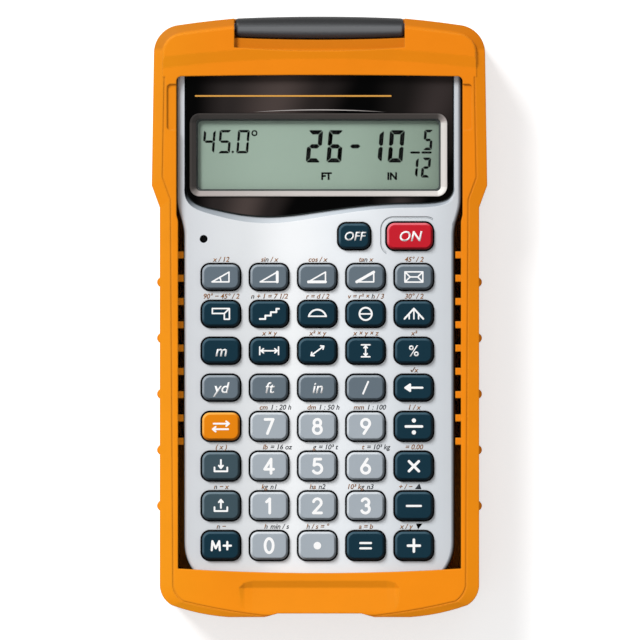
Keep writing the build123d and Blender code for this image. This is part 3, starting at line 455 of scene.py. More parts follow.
# Painted highlight along the barrel's crown, shifted away from the lamp, added over painted shade that
# follows how each face turns to the lamp.
crown_shift = -0.22
stand_lean_reach = 0.8
stand_highlight_share = add_node(
    stand_tree,
    "Math",
    {0: stand_tilt.outputs["Toward Lamp"], 1: crown_shift, 2: stand_tilt.outputs["Upright"]},
    operation="MULTIPLY_ADD",
)
stand_turn = add_node(
    stand_tree,
    "MapRange",
    {
        "Value": stand_tilt.outputs["Toward Lamp"],
        "From Min": -stand_lean_reach,
        "From Max": stand_lean_reach,
    },
)
stand_painted_side_shade = colour_ramp(
    stand_tree,
    stand_turn.outputs[0],
    [(0.0, "414347"), (0.35, "36383c"), (0.5, "2b2d30"), (0.7, "1b1c1e"), (1.0, "111213")],
)
stand_painted_highlight = colour_ramp(
    stand_tree,
    stand_highlight_share.outputs[0],
    [(0.0, "000000"), (0.8, "000000"), (0.9, "1c1c1d"), (0.97, "454647"), (1.0, "5e5f60")],
)
stand_tone = add_node(
    stand_tree,
    "MixRGB",
    {"Fac": 1.0, "Color1": stand_painted_side_shade, "Color2": stand_painted_highlight},
    blend_type="ADD",
)
recolour(stand_nylon, stand_tone.outputs[0])
dress("tilt_stand", stand_nylon)
pin_steel = moulded(
    "steel_pin",
    colour=paint("6e7176"),
    edge_colour=paint("8c8f94"),
    roughness=0.45,
    grains=9000.0,
    grain_depth=0.000002,
    edge_radius=0.0001,
    wear=0.2,
    Metallic=1.0,
)
dress("stand_pin", pin_steel)


# The rear housing with its battery door, coin cell, contacts and screws. Shell and door are
# injection-moulded in dark grey; the door hooks in at its hinge end and carries a finger grip.
rear_plastic = moulded(
    "rear_housing",
    colour=paint("53575d"),
    edge_colour=paint("777b82"),
    roughness=0.5,
    grains=4200.0,
    grain_depth=0.00001,
    edge_radius=0.0003,
    wear=0.25,
)
dress("rear_shell", rear_plastic)
dress("battery_door", rear_plastic)
cell_steel = moulded(
    "coin_cell",
    colour=paint("c2c4c6"),
    edge_colour=paint("dddddd"),
    roughness=0.28,
    grains=7000.0,
    grain_depth=0.000002,
    edge_radius=0.0002,
    wear=0.2,
    Metallic=1.0,
)
dress("battery", cell_steel)
contact_metal = moulded(
    "contact_strip",
    colour=paint("c9b37a"),
    edge_colour=paint("e2cf9d"),
    roughness=0.3,
    grains=7000.0,
    grain_depth=0.000002,
    edge_radius=0.0001,
    wear=0.2,
    Metallic=1.0,
)
dress("battery_contacts", contact_metal)
screw_steel = moulded(
    "steel_screw",
    colour=paint("8f9296"),
    edge_colour=paint("c0c2c4"),
    roughness=0.35,
    grains=8000.0,
    grain_depth=0.000003,
    edge_radius=0.0001,
    wear=0.4,
    Metallic=1.0,
)
dress("housing_screws", screw_steel)


# The circuit board with the processor under its black drop of resin, the two elastomer strips that
# lead up to the display cell, and the milky silicone mat whose domes push the keys back up.
board_lacquer = moulded(
    "board",
    colour=paint("1f5a33"),
    edge_colour=paint("b59a55"),
    roughness=0.35,
    grains=900.0,
    grain_depth=0.00001,
    edge_radius=0.0002,
    wear=0.5,
    mottle=0.2,
)
dress("circuit_board", board_lacquer)
chip_resin = moulded(
    "chip_cap",
    colour=paint("101013"),
    edge_colour=paint("2b2b30"),
    roughness=0.3,
    grains=1500.0,
    grain_depth=0.00001,
    edge_radius=0.0003,
    wear=0.1,
)
dress("processor", chip_resin)
strip_rubber = moulded(
    "connector_strip",
    colour=paint("e3d9d2"),
    edge_colour=paint("f1ece8"),
    roughness=0.6,
    grains=3000.0,
    grain_depth=0.00001,
    edge_radius=0.0002,
    wear=0.1,
)
dress("lcd_connectors", strip_rubber)
mat_silicone = moulded(
    "silicone_mat",
    colour=paint("8b8e8d"),
    edge_colour=paint("a5a8a7"),
    roughness=0.62,
    grains=2500.0,
    grain_depth=0.00001,
    edge_radius=0.0003,
    wear=0.1,
)
dress("key_mat", mat_silicone)


# The front housing: moulded in black and sprayed silver, with the walls of holes left bare. Its
# colour also carries painted light: a broad painted sheen across the face, painted shade on slopes
# and on faces turned to the right, and painted shade below the face, in the holes and under the
# window's edge. Small notations are pad-printed over the keys in brown and dark grey.
silver_paint = moulded(
    "silver_housing",
    colour=paint("f7f9fb"),
    edge_colour=paint("fafbfc"),
    roughness=0.5,
    grains=9000.0,
    grain_depth=0.000004,
    edge_radius=0.00025,
    wear=0.15,
    mottle=0.02,
    Metallic=0.06,
    Specular_IOR_Level=0.2,
)
silver_tree = silver_paint.node_tree
silver_coat = silver_tree.nodes["Principled BSDF"].inputs["Base Color"]
silver_half_width = 0.0335
sideways_share = 0.45
sprayed_depth = 0.0006
bare_depth = 0.0007
# A broad painted sheen across the face, brightest a little left of the middle and darker to the sides.
silver_across = add_node(
    silver_tree,
    "MapRange",
    {
        "Value": object_place(silver_tree)["X"],
        "From Min": -silver_half_width,
        "From Max": silver_half_width,
    },
)
silver_painted_sheen = colour_ramp(
    silver_tree,
    silver_across.outputs[0],
    [
        (0.0, "dcdee1"),
        (0.22, "e8e9ea"),
        (0.4, "ffffff"),
        (0.6, "f6f8fa"),
        (0.82, "e4e7ea"),
        (1.0, "d2d6da"),
    ],
)
# Bare black on upright walls; painted shade on slopes and on faces turned to the right, away from the lamp.
silver_tilt = add_node(silver_tree, "Group", node_tree=tilt)
silver_turn = add_node(
    silver_tree,
    "Math",
    {0: silver_tilt.outputs["Sideways"], 1: sideways_share, 2: silver_tilt.outputs["Upright"]},
    operation="MULTIPLY_ADD",
)
silver_bare_sides_and_painted_shade = colour_ramp(
    silver_tree,
    silver_turn.outputs[0],
    [
        (0.0, "0b0c0e"),
        (0.25, "0b0c0e"),
        (0.5, "6d7277"),
        (0.8, "b4babf"),
        (0.92, "d3d8dc"),
        (0.99, "ffffff"),
    ],
)
# Below the face a dark green-grey: partly the bare moulding and partly painted shade in the holes and under
# the window's edge.
silver_masked = add_node(
    silver_tree,
    "MapRange",
    {
        "Value": silver_tilt.outputs["Depth"],
        "From Min": face_height - bare_depth,
        "From Max": face_height - sprayed_depth,
    },
)
silver_bare_walls_and_shade = colour_ramp(
    silver_tree,
    silver_masked.outputs[0],
    [(0.0, "666d68"), (1.0, "ffffff")],
)
silver_lit = silver_coat.links[0].from_socket
for tone in (silver_painted_sheen, silver_bare_sides_and_painted_shade, silver_bare_walls_and_shade):
    silver_lit = add_node(
        silver_tree,
        "MixRGB",
        {"Fac": 1.0, "Color1": silver_lit, "Color2": tone},
        blend_type="MULTIPLY",
    ).outputs[0]
recolour(silver_paint, silver_lit)
dress("front_shell", silver_paint)


mm_per_metre = 1000


def lettering(flat, words, x, y, height, slant=0.0, weight=0.0, side="CENTER"):
    """Adds printed words or signs to a flat mesh in millimetres, centred on x, y unless a side is given."""
    capital_share = 0.69
    curve = bpy.data.curves.new("words", "FONT")
    curve.body = words
    curve.align_x = side
    curve.size = height / capital_share
    curve.shear = slant
    curve.offset = weight
    curve.resolution_u = 4
    carrier = bpy.data.objects.new("words", curve)
    bpy.context.collection.objects.link(carrier)
    bpy.context.view_layer.update()
    mesh = bpy.data.meshes.new_from_object(carrier)
    bpy.data.objects.remove(carrier)
    bpy.data.curves.remove(curve)
    for point in mesh.vertices:
        point.co.x += x
        point.co.y += y - height / 2
    flat.from_mesh(mesh)
    bpy.data.meshes.remove(mesh)


def printed(name, flat, body, height, material, thickness=0.00002):
    """Turns a flat mesh in millimetres into a thin film of print or paint at a height on a body."""
    bmesh.ops.scale(flat, vec=[1 / mm_per_metre] * 3, verts=flat.verts)
    bmesh.ops.translate(flat, vec=(0, 0, height), verts=flat.verts)
    bmesh.ops.recalc_face_normals(flat, faces=flat.faces)
    if sum(face.normal.z * face.calc_area() for face in flat.faces) < 0:
        bmesh.ops.reverse_faces(flat, faces=flat.faces)
    mesh = bpy.data.meshes.new(name)
    flat.to_mesh(mesh)
    flat.free()
    film = bpy.data.objects.new(name, mesh)
    bpy.context.collection.objects.link(film)
    mesh.materials.append(material)
    depth = film.modifiers.new("film", "SOLIDIFY")
    depth.thickness = thickness
    depth.offset = 1.0
    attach(film, body)


def ink(name, code, roughness=0.5, grains=6000.0, grain_depth=0.000002, mottle=0.06, **sockets):
    """A flat ink or paint in one colour, without wear and almost without relief."""
    return moulded(
        name,
        colour=paint(code),
        edge_colour=paint(code),
        roughness=roughness,
        grains=grains,
        grain_depth=grain_depth,
        edge_radius=0.00005,
        wear=0.0,
        mottle=mottle,
        **sockets,
    )


brown_ink = ink("brown_print", "9c6224")
dark_ink = ink("dark_print", "2b3038")
small_height = 1.12
small_weight = 0.028
small_slant = 0.22
small_rise = 0.58
cap_flange = 0.8
brown_back = 0.4
dark_ahead = 0.2
small_signs = {
    "pitch": ("x / 12", ""),
    "rise": ("sin / x", ""),
    "run": ("cos / x", ""),
    "diagonal": ("tan x", ""),
    "hip_valley": ("45° / 2", ""),
    "compound_miter": ("90° − 45° / 2", ""),
    "stair": ("n + 1 = 7 1/2", ""),
    "arc": ("r = d / 2", ""),
    "circle": ("v = r² × h / 3", ""),
    "jack": ("30° / 2", ""),
    "length": ("x × y", ""),
    "width": ("x² × y", ""),
    "height": ("x × y × z", ""),
    "percent": ("x²", ""),
    "backspace": ("√x", ""),
    "7": ("cm", "1 : 20 h"),
    "8": ("dm", "1 : 50 h"),
    "9": ("mm", "1 : 100"),
    "divide": ("1 / x", ""),
    "store": ("( x )", ""),
    "4": ("lb", "= 16 oz"),
    "5": ("g", "= 10³ t"),
    "6": ("t", "= 10³ kg"),
    "times": ("= 0.00", ""),
    "recall": ("n − x", ""),
    "1": ("kg", "n1"),
    "2": ("ha", "n2"),
    "3": ("10³ kg", "n3"),
    "minus": ("+ / −", "▲"),
    "memory_add": ("n −", ""),
    "0": ("h", "min / s"),
    "point": ("h / s = °", ""),
    "equals": ("a = b", ""),
    "plus": ("x / y", "▼"),
}
brown_signs = bmesh.new()
dark_signs = bmesh.new()
for key, (brown, dark) in small_signs.items():
    low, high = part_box("key_" + key)
    x = (low.x + high.x) / 2 * mm_per_metre
    y = high.y * mm_per_metre - cap_flange + small_rise + small_height / 2
    style = {"height": small_height, "slant": small_slant, "weight": small_weight}
    if dark:
        lettering(brown_signs, brown, x - brown_back, y, side="RIGHT", **style)
        lettering(dark_signs, dark, x + dark_ahead, y, side="LEFT", **style)
    else:
        lettering(brown_signs, brown, x, y, **style)
printed("small_signs_brown", brown_signs, "calculator", face_height, brown_ink)
printed("small_signs_dark", dark_signs, "calculator", face_height, dark_ink)


# The keys: hard caps moulded in grey, deep blue, slate, light grey, orange and red, each with
# a bevelled rim and a finely textured top. Their signs are printed in white. Their colour also
# carries painted light: a painted highlight on rims turned to the lamp, painted shade on rims
# turned away, and near-black painted shade on the skirt below the top, down in the gap.
# Each look gives the cap colour, the colour of its painted highlight, and its keys.
cap_looks = {
    "grey_key": ("66737d", "9aa4ac", "pitch rise run diagonal hip_valley yards feet inches fraction"),
    "navy_key": (
        "10303e",
        "3f5a68",
        "off compound_miter stair arc circle jack metre length width height percent backspace "
        "divide times minus plus equals memory_add",
    ),
    "slate_key": ("3f525b", "70828c", "store recall"),
    "number_key": ("a9b2ba", "d3d9de", "0 1 2 3 4 5 6 7 8 9 point"),
    "orange_key": ("e9860c", "f7b251", "convert"),
    "red_key": ("c91f2e", "e26c76", "on"),
}
skirt_drop = 0.00047
skirt_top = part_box("key_5")[1].z - skirt_drop
skirt_fade = 0.00006
rim_start = 0.05
rim_reach = 0.5
painted_shade_tone = 0.45
for look, (shade, highlight_shade, names) in cap_looks.items():
    cap_plastic = moulded(
        look,
        colour=paint(shade),
        edge_colour=paint(shade),
        roughness=0.42,
        grains=7000.0,
        grain_depth=0.00001,
        edge_radius=0.0003,
        wear=0.0,
        Specular_IOR_Level=0.08,
    )
    cap_tree = cap_plastic.node_tree
    cap_tilt = add_node(cap_tree, "Group", node_tree=tilt)
    # Painted highlight on rims facing the lamp, painted shade on rims facing away, and near-black painted
    # shade on the skirt down in the gap.
    painted_highlight = add_node(
        cap_tree,
        "MapRange",
        {"Value": cap_tilt.outputs["Toward Lamp"], "From Min": rim_start, "From Max": rim_reach},
    )
    painted_shade = add_node(
        cap_tree,
        "MapRange",
        {"Value": cap_tilt.outputs["Toward Lamp"], "From Min": -rim_start, "From Max": -rim_reach},
    )
    gap_painted_shade = add_node(
        cap_tree,
        "MapRange",
        {
            "Value": cap_tilt.outputs["Depth"],
            "From Min": skirt_top + skirt_fade,
            "From Max": skirt_top,
        },
    )
    cap_colour = cap_tree.nodes["Principled BSDF"].inputs["Base Color"].links[0].from_socket
    for mask, tone in [
        (painted_highlight, paint(highlight_shade)),
        (painted_shade, [channel * painted_shade_tone for channel in paint(shade)[:3]] + [1]),
        (gap_painted_shade, paint("07090b")),
    ]:
        cap_colour = add_node(
            cap_tree,
            "MixRGB",
            {"Fac": mask.outputs[0], "Color1": cap_colour, "Color2": tone},
        ).outputs[0]
    recolour(cap_plastic, cap_colour)
    for key in names.split():
        dress("key_" + key, cap_plastic)
reset_plastic = moulded(
    "black_button",
    colour=paint("08080a"),
    edge_colour=paint("1a1a1d"),
    roughness=0.5,
    grains=4000.0,
    grain_depth=0.000005,
    edge_radius=0.0001,
    wear=0.1,
    Specular_IOR_Level=0.05,
)
dress("reset_button", reset_plastic)


def drawn_lines(flat, lines, x=0.0, y=0.0):
    """Adds round-ended lines of given widths to a flat mesh, joined into one outline where they meet."""
    quarter_steps = 4
    merge_distance = 1e-5
    corners = []
    strips = []
    for width, path in lines:
        for start, end in zip(path, path[1:]):
            heading = math.atan2(end[1] - start[1], end[0] - start[0])
            strip = []
            for centre, first in ((start, heading + math.pi / 2), (end, heading - math.pi / 2)):
                for step in range(2 * quarter_steps + 1):
                    angle = first + step * math.pi / (2 * quarter_steps)
                    corner_x = x + centre[0] + width / 2 * math.cos(angle)
                    corner_y = y + centre[1] + width / 2 * math.sin(angle)
                    strip.append(len(corners))
                    corners.append(Vector((corner_x, corner_y)))
            strips.append(strip)
    points, _, faces, _, _, covered = delaunay_2d_cdt(corners, [], strips, 1, merge_distance)
    placed = [flat.verts.new((point.x, point.y, 0)) for point in points]
    for face, strips_over_it in zip(faces, covered):
        if strips_over_it:
            flat.faces.new([placed[corner] for corner in face])
    for point in placed:
        if not point.link_faces:
            flat.verts.remove(point)


def bow(centre, radius, first, last, steps=14, stretch=1.0):
    """Points on an arc, or an upright oval's arc, between two angles in degrees."""
    points = []
    for step in range(steps + 1):
        angle = math.radians(first + (last - first) * step / steps)
        along = centre[0] + radius * math.cos(angle)
        up = centre[1] + radius * stretch * math.sin(angle)
        points.append((along, up))
    return points


def arrow(start, end, width, head=0.75):
    """An arrow's shaft and its two barbs."""
    barb_turn = 0.7
    heading = math.atan2(end[1] - start[1], end[0] - start[0])
    barbs = []
    for side in (-1, 1):
        angle = heading + side * barb_turn
        barbs.append((end[0] - head * math.cos(angle), end[1] - head * math.sin(angle)))
    return [(width, [start, end]), (width, [barbs[0], end, barbs[1]])]


thin = 0.34
drawn = thin + 0.08
firm = 0.5
heavy = 0.6
bold = 0.66
toe = (-2.1, -1.15)
heel = (1.9, -1.15)
peak = (1.9, 1.15)
tray = (drawn, [(-1.5, -0.3), (-1.5, -1.2), (1.5, -1.2), (1.5, -0.3)])
key_signs = {
    "pitch": [(thin, [toe, heel, peak, toe]), (thin, bow(toe, 2.1, 0, 29))],
    "rise": [(thin, [heel, toe, peak]), (bold, [heel, peak])],
    "run": [(thin, [heel, peak, toe]), (bold, [toe, heel])],
    "diagonal": [(thin, [toe, heel, peak]), (bold, [toe, peak])],
    "hip_valley": [
        (thin, [(-2.1, -1.2), (2.1, -1.2), (2.1, 1.2), (-2.1, 1.2), (-2.1, -1.2)]),
        (thin, [(-2.1, -1.2), (-0.9, 0), (-2.1, 1.2)]),
        (thin, [(2.1, -1.2), (0.9, 0), (2.1, 1.2)]),
        (thin, [(-0.9, 0), (0.9, 0)]),
    ],
    "compound_miter": [
        (
            thin,
            [
                (-2.0, 1.25),
                (2.0, 1.25),
                (2.0, -1.25),
                (0.8, -1.25),
                (0.8, 0.1),
                (-2.0, 0.1),
                (-2.0, 1.25),
            ],
        ),
        (thin, [(0.8, 0.1), (2.0, 1.25)]),
    ],
    "stair": [
        (
            drawn,
            [
                (-2.2, -1.2),
                (-0.9, -1.2),
                (-0.9, -0.4),
                (0.4, -0.4),
                (0.4, 0.4),
                (1.7, 0.4),
                (1.7, 1.2),
                (2.3, 1.2),
            ],
        ),
    ],
    "arc": [(drawn, bow((0, -1.1), 2.1, 15, 165)), (thin, [(-2.03, -0.56), (2.03, -0.56)])],
    "circle": [(drawn, bow((0, 0), 1.45, 0, 360, 32)), (thin, [(-1.45, 0), (1.45, 0)])],
    "jack": [
        (drawn, [(-2.2, -1.15), (0, 1.25), (2.2, -1.15)]),
        (thin, [(-1.1, -1.15), (-1.1, 0.05)]),
        (thin, [(0, -1.15), (0, 1.25)]),
        (thin, [(1.1, -1.15), (1.1, 0.05)]),
    ],
    "length": [
        (thin, [(-2.2, -0.9), (-2.2, 0.9)]),
        (thin, [(2.2, -0.9), (2.2, 0.9)]),
        *arrow((0, 0), (1.9, 0), thin),
        *arrow((0, 0), (-1.9, 0), thin),
    ],
    "width": [*arrow((0, 0), (1.5, 1.1), thin), *arrow((0, 0), (-1.5, -1.1), thin)],
    "height": [
        (thin, [(-1.0, -1.4), (1.0, -1.4)]),
        (thin, [(-1.0, 1.4), (1.0, 1.4)]),
        *arrow((0, 0), (0, 1.15), thin, 0.6),
        *arrow((0, 0), (0, -1.15), thin, 0.6),
    ],
    "backspace": [
        (firm, [(-1.6, 0), (2.0, 0)]),
        (firm, [(-0.9, 0.75), (-2.0, 0), (-0.9, -0.75), (-0.9, 0.75)]),
    ],
    "fraction": [(drawn, [(-0.6, -1.4), (0.6, 1.4)])],
    "divide": [(heavy, [(-1.9, 0), (1.9, 0)]), (1.0, [(0, 1.4), (0, 1.4)]), (1.0, [(0, -1.4), (0, -1.4)])],
    "times": [(0.62, [(-1.15, -1.15), (1.15, 1.15)]), (0.62, [(-1.15, 1.15), (1.15, -1.15)])],
    "minus": [(firm, [(-1.65, 0), (1.65, 0)])],
    "plus": [(heavy, [(-1.4, 0), (1.4, 0)]), (heavy, [(0, -1.4), (0, 1.4)])],
    "equals": [(firm, [(-1.25, 0.62), (1.25, 0.62)]), (firm, [(-1.25, -0.62), (1.25, -0.62)])],
    "convert": [
        *arrow((-1.7, 0.65), (1.9, 0.65), drawn, 0.85),
        *arrow((1.7, -0.65), (-1.9, -0.65), drawn, 0.85),
    ],
    "store": [tray, *arrow((0, 1.45), (0, -0.45), drawn)],
    "recall": [tray, *arrow((0, -0.45), (0, 1.45), drawn)],
    "point": [(1.8, [(0, 0), (0, 0)])],
    "memory_add": [
        (firm, [(-2.15, -1.05), (-2.0, 1.05), (-1.2, -0.6), (-0.4, 1.05), (-0.25, -1.05)]),
        (firm, [(0.65, 0), (2.35, 0)]),
        (firm, [(1.5, -0.85), (1.5, 0.85)]),
    ],
    "0": [(bold, bow((0, 0), 0.95, 0, 360, 28, 1.75))],
    "1": [(bold, [(-0.6, 0.95), (0.15, 1.65), (0.15, -1.67)])],
    "2": [(bold, bow((0, 0.75), 0.92, 165, -38) + [(-0.95, -1.65), (0.98, -1.65)])],
    "3": [(bold, bow((-0.05, 0.83), 0.84, 155, -80)), (bold, bow((-0.05, -0.74), 0.94, 80, -155))],
    "4": [(bold, [(0.45, -1.67), (0.45, 1.65), (-1.05, -0.72), (1.05, -0.72)])],
    "5": [
        (bold, [(0.8, 1.65), (-0.62, 1.65), (-0.78, 0.2)]),
        (bold, bow((-0.02, -0.6), 1.07, 130, -150, 18)),
    ],
    "6": [(bold, bow((0, -0.7), 0.97, 0, 360, 24)), (bold, [(-0.87, -0.3), (0.4, 1.67)])],
    "7": [(bold, [(-0.95, 1.65), (0.95, 1.65), (-0.4, -1.67)])],
    "8": [(bold, bow((0, 0.87), 0.8, 0, 360, 22)), (bold, bow((0, -0.73), 0.95, 0, 360, 24))],
    "9": [(bold, bow((0, 0.7), 0.97, 0, 360, 24)), (bold, [(0.87, 0.3), (-0.4, -1.67)])],
}
key_words = {
    "off": ("OFF", 1.95, 0.2, 0.045),
    "on": ("ON", 2.3, 0.2, 0.05),
    "metre": ("m", 2.5, 0.2, 0.05),
    "yards": ("yd", 2.5, 0.2, 0.05),
    "feet": ("ft", 2.5, 0.2, 0.05),
    "inches": ("in", 2.5, 0.2, 0.05),
    "percent": ("%", 2.5, 0.0, 0.03),
}
white_ink = ink("white_print", "ffffff", roughness=0.4, mottle=0.01)
sign_thickness = 0.00003
for key in " ".join(names for _, _, names in cap_looks.values()).split():
    low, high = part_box("key_" + key)
    middle = (low + high) / 2 * mm_per_metre
    sign = bmesh.new()
    if key in key_signs:
        drawn_lines(sign, key_signs[key], middle.x, middle.y)
    else:
        words, height, slant, weight = key_words[key]
        lettering(sign, words, middle.x, middle.y, height, slant, weight)
    printed("sign_" + key, sign, "key_" + key, high.z, white_ink, sign_thickness)


# The display: a grey-green liquid crystal cell and the clear window over it, set in a sloped frame
# and a glossy black panel. Panel and frame are one lens whose colour is painted light: smoky brown
# painted reflections in the black, and on the frame painted shade at the top left that turns into
# a painted highlight at the bottom right.
panel_black = moulded(
    "black_panel",
    colour=paint("0b0909"),
    edge_colour=paint("3b3636"),
    roughness=0.2,
    grains=1200.0,
    grain_depth=0.0000005,
    edge_radius=0.0002,
    wear=0.0,
    Specular_IOR_Level=0.02,
)
panel_tree = panel_black.node_tree
panel_place = object_place(panel_tree)
panel_foot_y = 0.0277


def painted_reflection_band(start_x, foot_width, spread, stops):
    """A painted reflection: a smoky brown band that starts at an X at the panel's foot, in metres, and
    widens upwards.
    """
    run = add_node(panel_tree, "Math", {0: panel_place["X"], 1: start_x}, operation="SUBTRACT")
    rise = add_node(panel_tree, "Math", {0: panel_place["Y"], 1: panel_foot_y}, operation="SUBTRACT")
    width = add_node(
        panel_tree,
        "Math",
        {0: rise.outputs[0], 1: spread, 2: foot_width},
        operation="MULTIPLY_ADD",
    )
    share = add_node(
        panel_tree,
        "Math",
        {0: run.outputs[0], 1: width.outputs[0]},
        operation="DIVIDE",
        use_clamp=True,
    )
    return colour_ramp(panel_tree, share.outputs[0], stops)


left_painted_reflection = painted_reflection_band(
    start_x=-0.0295,
    foot_width=0.0245,
    spread=0.55,
    stops=[(0.0, "020202"), (0.22, "2b2625"), (0.52, "4a403d"), (0.78, "262120"), (1.0, "020202")],
)
right_painted_reflection = painted_reflection_band(
    start_x=0.0115,
    foot_width=0.0145,
    spread=0.7,
    stops=[(0.0, "000000"), (0.25, "171413"), (0.52, "352e2d"), (0.8, "1b1817"), (1.0, "000000")],
)
panel_painted_reflections = add_node(
    panel_tree,
    "MixRGB",
    {"Fac": 1.0, "Color1": left_painted_reflection, "Color2": right_painted_reflection},
    blend_type="ADD",
)
recolour(panel_black, panel_painted_reflections.outputs[0])
dress("display_bezel", panel_black)

frame_metal = moulded(
    "window_frame",
    colour=paint("c9c6c6"),
    edge_colour=paint("efecec"),
    roughness=0.34,
    grains=6000.0,
    grain_depth=0.000002,
    edge_radius=0.0002,
    wear=0.0,
    Specular_IOR_Level=0.25,
)
frame_tree = frame_metal.node_tree
frame_low, frame_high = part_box("display_frame")
frame_middle = (frame_low + frame_high) / 2
frame_half = (frame_high - frame_low) / 2
# The frame's colour is painted light: painted shade on the bars at the top and left, a painted highlight on
# those at the bottom and right, a little brighter towards the right.
corner_reach = 0.00235
lower_right = (0.707, -0.707, 0)
brighter_to_right = 0.15
frame_place = add_node(
    frame_tree,
    "VectorMath",
    {0: add_node(frame_tree, "TexCoord").outputs["Object"], 1: frame_middle},
    operation="SUBTRACT",
)
from_middle = add_node(
    frame_tree,
    "VectorMath",
    {0: frame_place.outputs[0]},
    operation="ABSOLUTE",
)
past_corner = add_node(
    frame_tree,
    "VectorMath",
    {
        0: from_middle.outputs[0],
        1: (frame_half.x - corner_reach, frame_half.y - corner_reach, 1.0),
    },
    operation="SUBTRACT",
)
past_straight = add_node(
    frame_tree,
    "VectorMath",
    {0: past_corner.outputs[0]},
    operation="MAXIMUM",
)
outward = add_node(
    frame_tree,
    "VectorMath",
    {0: past_straight.outputs[0]},
    operation="NORMALIZE",
)
side_sign = add_node(frame_tree, "VectorMath", {0: frame_place.outputs[0]}, operation="SIGN")
facing = add_node(
    frame_tree,
    "VectorMath",
    {0: outward.outputs[0], 1: side_sign.outputs[0]},
    operation="MULTIPLY",
)
to_lower_right = add_node(
    frame_tree,
    "VectorMath",
    {0: facing.outputs[0], 1: lower_right},
    operation="DOT_PRODUCT",
)
along_frame = add_node(frame_tree, "SeparateXYZ", {0: frame_place.outputs[0]})
frame_painted_light = add_node(
    frame_tree,
    "Math",
    {
        0: along_frame.outputs["X"],
        1: brighter_to_right / frame_half.x,
        2: to_lower_right.outputs["Value"],
    },
    operation="MULTIPLY_ADD",
)
frame_share = add_node(
    frame_tree,
    "MapRange",
    {"Value": frame_painted_light.outputs[0], "From Min": -1.0, "From Max": 1.0},
)
recolour(
    frame_metal,
    colour_ramp(
        frame_tree,
        frame_share.outputs[0],
        [
            (0.0, "2a2624"),
            (0.16, "423c39"),
            (0.5, "7f7976"),
            (0.76, "a39a97"),
            (0.86, "c4beba"),
            (1.0, "e9e6e2"),
        ],
    ),
)
dress("display_frame", frame_metal)
cell_green = moulded(
    "display_cell",
    colour=paint("a8bfae"),
    edge_colour=paint("a8bfae"),
    roughness=0.4,
    grains=5000.0,
    grain_depth=0.000002,
    edge_radius=0.0001,
    wear=0.0,
    mottle=0.03,
    Specular_IOR_Level=0.1,
)
cell_tree = cell_green.node_tree
cell_left_x = -0.029
cell_right_x = 0.0285
cell_across = add_node(
    cell_tree,
    "MapRange",
    {"Value": object_place(cell_tree)["X"], "From Min": cell_left_x, "From Max": cell_right_x},
)
recolour(
    cell_green,
    colour_ramp(
        cell_tree,
        cell_across.outputs[0],
        [(0.0, "a3b8a9"), (0.3, "adc3b3"), (0.6, "a8beae"), (0.85, "9bb0a0"), (1.0, "90a394")],
    ),
)
dress("lcd_panel", cell_green)

clear_plastic = bpy.data.materials.new("clear_window")
clear_plastic.use_nodes = True
window_tree = clear_plastic.node_tree
window_shader = window_tree.nodes["Principled BSDF"]
smears_per_metre = 300.0
smear_roughness = 0.015
window_smears = add_node(window_tree, "Group", node_tree=grain)
window_smears.inputs[0].default_value = smears_per_metre
window_polish = add_node(
    window_tree,
    "MapRange",
    {"Value": window_smears.outputs["Mottle"], "To Min": 0.0, "To Max": smear_roughness},
)
window_tree.links.new(window_polish.outputs[0], window_shader.inputs["Roughness"])
window_shader.inputs["Transmission Weight"].default_value = 1.0
window_shader.inputs["IOR"].default_value = 1.12
window_shader.inputs["Specular IOR Level"].default_value = 0.05
window_rays = add_node(window_tree, "LightPath").outputs
window_unseen = add_node(
    window_tree,
    "Math",
    {0: window_rays["Is Shadow Ray"], 1: window_rays["Is Diffuse Ray"]},
    operation="MAXIMUM",
)
window_mix = add_node(
    window_tree,
    "MixShader",
    {
        0: window_unseen.outputs[0],
        1: window_shader.outputs[0],
        2: add_node(window_tree, "BsdfTransparent").outputs[0],
    },
)
window_tree.links.new(window_mix.outputs[0], window_tree.nodes["Material Output"].inputs["Surface"])
dress("display_window", clear_plastic)

crystal_black = ink("crystal_segments", "020504", grain_depth=0.000001, Specular_IOR_Level=0.05)
lit_bars = {
    "0": "abcdef",
    "1": "bc",
    "2": "abged",
    "4": "fgbc",
    "5": "afgcd",
    "6": "afgedc",
    "-": "g",
}


def crystal_digit(flat, digit, x, y, width, height, bar, gap=0.07, slant=0.08):
    """Adds one slanted digit of up to seven mitred bars, with its lower left corner at x, y."""
    corner_share = 0.35
    middle = height / 2
    cut = bar * corner_share
    cap = [
        (width - bar - gap, height - bar),
        (width - cut / 2 - gap, height - cut / 2),
        (width - cut - gap, height),
        (cut + gap, height),
        (cut / 2 + gap, height - cut / 2),
        (bar + gap, height - bar),
    ]
    side = [
        (bar, height - bar - gap),
        (cut / 2, height - cut / 2 - gap),
        (0, height - cut - gap),
        (0, middle + bar / 4 + gap),
        (bar / 2, middle + gap),
        (bar, middle + bar / 2 + gap),
    ]
    waist = [
        (bar / 2 + gap, middle),
        (bar + gap, middle - bar / 2),
        (width - bar - gap, middle - bar / 2),
        (width - bar / 2 - gap, middle),
        (width - bar - gap, middle + bar / 2),
        (bar + gap, middle + bar / 2),
    ]
    bars = {
        "a": (cap, False, False),
        "b": (side, True, False),
        "c": (side, True, True),
        "d": (cap, False, True),
        "e": (side, False, True),
        "f": (side, False, False),
        "g": (waist, False, False),
    }
    for name in lit_bars[digit]:
        shape, to_right, to_foot = bars[name]
        outline = []
        for along, up in shape:
            along = width - along if to_right else along
            up = height - up if to_foot else up
            outline.append(flat.verts.new((x + along + slant * up, y + up, 0)))
        if to_right != to_foot:
            outline.reverse()
        flat.faces.new(outline)


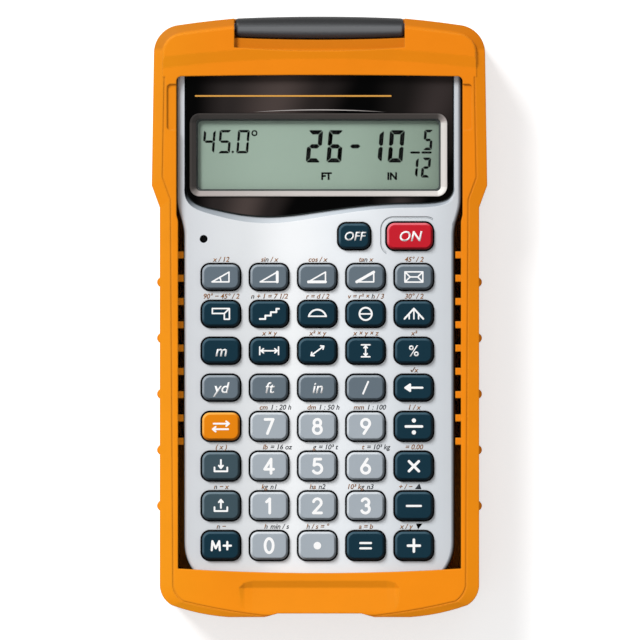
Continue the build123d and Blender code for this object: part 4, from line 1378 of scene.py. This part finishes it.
cell_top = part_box("lcd_panel")[1].z
unit_height = 1.6
unit_weight = 0.105
unit_y = 33.1
reading = bmesh.new()
for digit, x, y, width, height, bar in [
    ("2", -3.25, 36.3, 3.5, 7.6, 1.0),
    ("6", 1.6, 36.3, 3.5, 7.6, 1.0),
    ("-", 6.35, 36.4, 3.5, 7.4, 0.95),
    ("1", 11.1, 36.3, 3.5, 7.6, 1.0),
    ("0", 16.0, 36.3, 3.5, 7.6, 1.0),
    ("5", 24.3, 39.2, 2.1, 4.8, 0.62),
    ("1", 20.9, 32.75, 2.1, 4.7, 0.62),
    ("2", 23.8, 32.75, 2.1, 4.7, 0.62),
    ("4", -27.6, 38.45, 2.8, 5.5, 0.58),
    ("5", -23.9, 38.45, 2.8, 5.5, 0.58),
    ("0", -19.6, 38.45, 2.8, 5.5, 0.58),
]:
    crystal_digit(reading, digit, x, y, width, height, bar)
drawn_lines(
    reading,
    [
        (0.5, [(21.6, 38.65), (23.4, 38.65)]),
        (0.5, [(24.25, 38.65), (26.15, 38.65)]),
        (0.55, [(-20.4, 38.8), (-20.4, 38.8)]),
        (0.34, bow((-15.3, 43.2), 0.55, 0, 360, 20)),
    ],
)
lettering(reading, "FT", 1.6, unit_y, unit_height, weight=unit_weight)
lettering(reading, "IN", 17.1, unit_y, unit_height, weight=unit_weight)
printed("reading", reading, "calculator", cell_top, crystal_black)

gold_ink = ink("gold_line", "d79a3c", roughness=0.4, grains=4000.0)
gold_width = 0.38
gold_ends = [(-29.1, 51.9), (16.75, 51.9)]
panel_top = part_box("display_bezel")[1].z
gold_line = bmesh.new()
drawn_lines(gold_line, [(gold_width, gold_ends)])
printed("gold_line", gold_line, "calculator", panel_top, gold_ink)

# A painted highlight: a thin pale line arching over the window frame.
glint_ink = ink("glint_line", "b3adab", roughness=0.4, grains=4000.0)
glint_line = bmesh.new()
glint_foot_y = 48.12
glint_half = 15.5
outer_rise = 0.62
inner_rise = 0.4
glint_corners = []
for rise, tenths in ((outer_rise, range(-10, 11)), (inner_rise, range(9, -10, -1))):
    for tenth in tenths:
        x = glint_half * tenth / 10
        y = glint_foot_y + rise * (1 - (x / glint_half) ** 2)
        glint_corners.append(glint_line.verts.new((x, y, 0)))
glint_line.faces.new(glint_corners)
printed("glint_line", glint_line, "calculator", panel_top, glint_ink)
